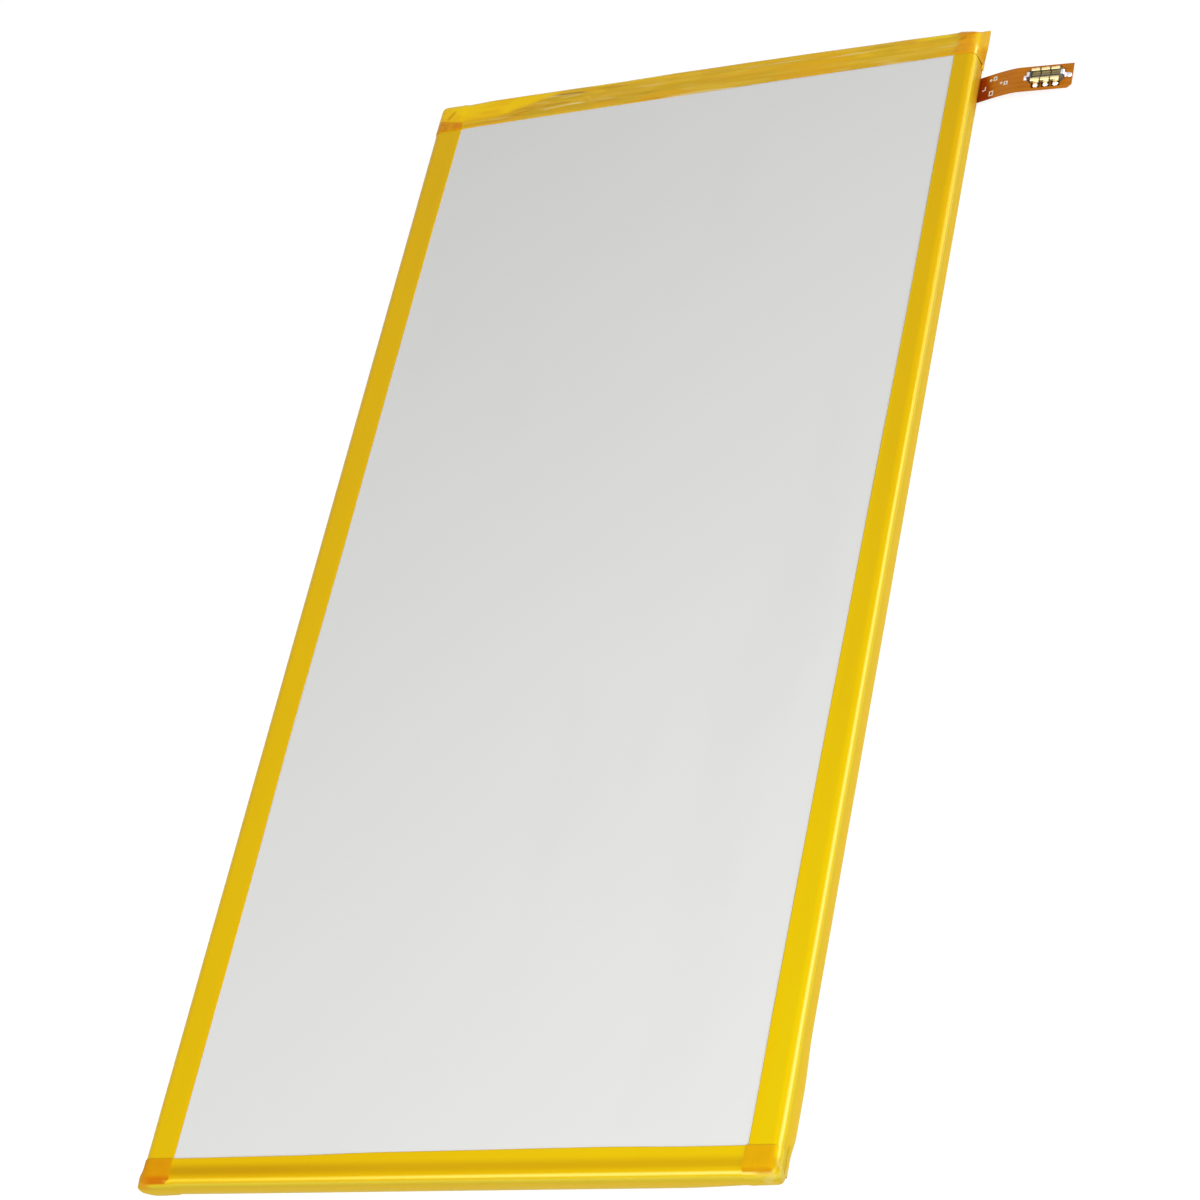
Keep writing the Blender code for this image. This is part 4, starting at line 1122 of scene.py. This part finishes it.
def build_solder():
    """Shiny joints over the contacts' feet and the two hold-downs."""
    metal = silver()
    bm = bmesh.new()
    for row in (-1, 1):
        for column in (-1, 0, 1):
            solder_blob(bm, column * CONTACT_PITCH, row * CONTACT_FOOT, *CONTACT_JOINT)
    add_trim("contact_solder", bm, metal).data.shade_smooth()
    bm = bmesh.new()
    for x, *size in HOLD_DOWN_JOINTS:
        solder_blob(bm, x, 0.0, *size)
    add_trim("hold_down_solder", bm, metal).data.shade_smooth()


def flex_height():
    """A look-up of the flex tail's upper surface, in millimetres."""
    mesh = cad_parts["flex_lead"]
    tree = BVHTree.FromObject(mesh, bpy.context.evaluated_depsgraph_get())

    def height(x, y):
        hit = tree.ray_cast(Vector((x * MM, y * MM, 0.01)), Vector((0.0, 0.0, -1.0)))[0]
        return hit.z / MM

    return height


def ink_bar(bm, height, x, y, length, angle=0.0):
    """A thin printed bar that lies on the film."""
    along = Vector((math.cos(angle), math.sin(angle))) * length / 2
    across = Vector((-math.sin(angle), math.cos(angle))) * MARK_LINE / 2
    middle = Vector((x, y))
    corners = [middle + along * a + across * b for a, b in ((-1, -1), (1, -1), (1, 1), (-1, 1))]
    upper, lower = (
        [bm.verts.new(Vector((*c, height(*c) + lift)) * MM) for c in corners]
        for lift in MARK_LIFTS
    )
    bm.faces.new(upper)
    bm.faces.new(lower[::-1])
    for i in range(4):
        j = (i + 1) % 4
        bm.faces.new((lower[i], lower[j], upper[j], upper[i]))


def build_print():
    """Generic marks by the exit: crosses, bars and small pad outlines."""
    height = flex_height()
    bm = bmesh.new()
    upright = math.pi / 2
    for x, y, length in CROSSES:
        ink_bar(bm, height, x, y, length)
        ink_bar(bm, height, x, y, length, upright)
    for x, y, wide, high in PAD_OUTLINES:
        for side in (-1, 1):
            ink_bar(bm, height, x, y + side * high / 2, wide + MARK_LINE)
            ink_bar(bm, height, x + side * wide / 2, y, high, upright)
    ink_bar(bm, height, *UPRIGHT_BAR, upright)
    ink_bar(bm, height, *LYING_BAR)
    add_trim("flex_print", bm, plain_skin("print_ink"))


def dress_nodes():
    """Give each CAD node, seen or inside, its procedural material."""
    skins = {
        "pouch_laminate": laminate(),
        "solder_mask": solder_mask(),
        "flex_film": flex_film(),
        "plug_plastic": plug_plastic(),
        "gold_plate": gold(),
        "silver_plate": silver(),
        "amber_film": side_film("hidden_film_skin", HIDDEN_TAPE, DEEP_YELLOW, 0.0),
    }
    for name in ("black_epoxy", "ceramic_chip", "tab_metal", "tab_film", "fibre_paper"):
        skins[name] = plain_skin(name)
    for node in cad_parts.values():
        for slot in node.material_slots:
            name = slot.material.name.split(".")[0]
            slot.material = skins[name]


def add_camera():
    data = bpy.data.cameras.new("camera")
    data.sensor_width = CAMERA_SENSOR
    data.sensor_fit = "HORIZONTAL"
    data.lens = CAMERA_LENS
    camera = add_object("camera", data)
    camera.location = CAMERA_PLACE
    camera.rotation_euler = Euler([math.radians(a) for a in CAMERA_TURN])
    bpy.context.scene.camera = camera


def add_light(name, direction, distance, size, strength):
    """A soft rectangular light that faces the pack, as bright as a white of that strength."""
    data = bpy.data.lights.new(name, "AREA")
    data.shape = "RECTANGLE"
    data.size, data.size_y = size
    data.energy = strength * math.pi * size[0] * size[1]
    light = add_object(name, data)
    place = Vector(direction).normalized() * distance
    light.location = place
    light.rotation_euler = place.to_track_quat("Z", "Y").to_euler()


def seen_directly(tree):
    """1 for what the camera sees, itself or in a gloss or through glass."""
    path = tree.nodes.new("ShaderNodeLightPath")
    seen = path.outputs["Is Camera Ray"]
    for name in ("Is Glossy Ray", "Is Transmission Ray"):
        either = tree.nodes.new("ShaderNodeMath")
        either.operation = "MAXIMUM"
        tree.links.new(seen, either.inputs[0])
        tree.links.new(path.outputs[name], either.inputs[1])
        seen = either.outputs[0]
    return seen


def add_world():
    """White where it is seen, and a dimmer white as light."""
    world = bpy.data.worlds.new("studio")
    world.use_nodes = True
    tree = world.node_tree
    background = tree.nodes["Background"]
    background.inputs["Color"].default_value = (1.0, 1.0, 1.0, 1.0)
    strength = tree.nodes.new("ShaderNodeMapRange")
    strength.inputs["To Min"].default_value = AMBIENT
    strength.inputs["To Max"].default_value = 1.0
    tree.links.new(seen_directly(tree), strength.inputs["Value"])
    tree.links.new(strength.outputs["Result"], background.inputs["Strength"])
    bpy.context.scene.world = world


def grey_paper(graph, value):
    """A matt grey, as a shader of its own."""
    paper = graph.tree.nodes.new("ShaderNodeBsdfDiffuse")
    paper.inputs["Color"].default_value = (value, value, value, 1.0)
    return paper.outputs[0]


def white_floor():
    """White paper that shows as a clean white, with the pack's faint shadow on it."""
    graph = Graph("white_floor")
    nodes = graph.tree.nodes
    glow = nodes.new("ShaderNodeEmission")
    glow.inputs["Color"].default_value = (1.0, 1.0, 1.0, 1.0)
    glow.inputs["Strength"].default_value = FLOOR_GLOW
    shown = nodes.new("ShaderNodeAddShader")
    graph.put(grey_paper(graph, FLOOR_SHADOW), shown.inputs[0])
    graph.put(glow.outputs[0], shown.inputs[1])
    chosen = nodes.new("ShaderNodeMixShader")
    graph.put(seen_directly(graph.tree), chosen.inputs[0])
    graph.put(grey_paper(graph, FLOOR_PAPER), chosen.inputs[1])
    graph.put(shown.outputs[0], chosen.inputs[2])
    graph.put(chosen.outputs[0], nodes["Material Output"].inputs["Surface"])
    nodes.remove(graph.shader)
    return graph.material


def add_floor():
    """A wide floor just under the pack."""
    lowest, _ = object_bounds()
    bm = bmesh.new()
    bmesh.ops.create_grid(bm, x_segments=1, y_segments=1, size=FLOOR_REACH)
    floor = add_mesh("floor", bm, white_floor())
    floor.location.z = lowest.z


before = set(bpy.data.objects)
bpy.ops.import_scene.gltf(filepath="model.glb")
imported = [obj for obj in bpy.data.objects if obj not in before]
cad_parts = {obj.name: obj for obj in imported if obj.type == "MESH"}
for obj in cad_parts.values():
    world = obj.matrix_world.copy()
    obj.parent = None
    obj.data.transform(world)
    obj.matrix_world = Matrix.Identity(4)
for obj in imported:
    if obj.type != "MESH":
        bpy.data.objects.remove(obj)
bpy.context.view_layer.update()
bpy.context.scene.view_settings.view_transform = "Standard"
add_camera()
add_world()
for light in LIGHTS:
    add_light(*light)
add_floor()
dress_nodes()
build_left_tape()
build_right_tape()
build_bottom_tape()
build_top_tape()
build_solder()
build_print()
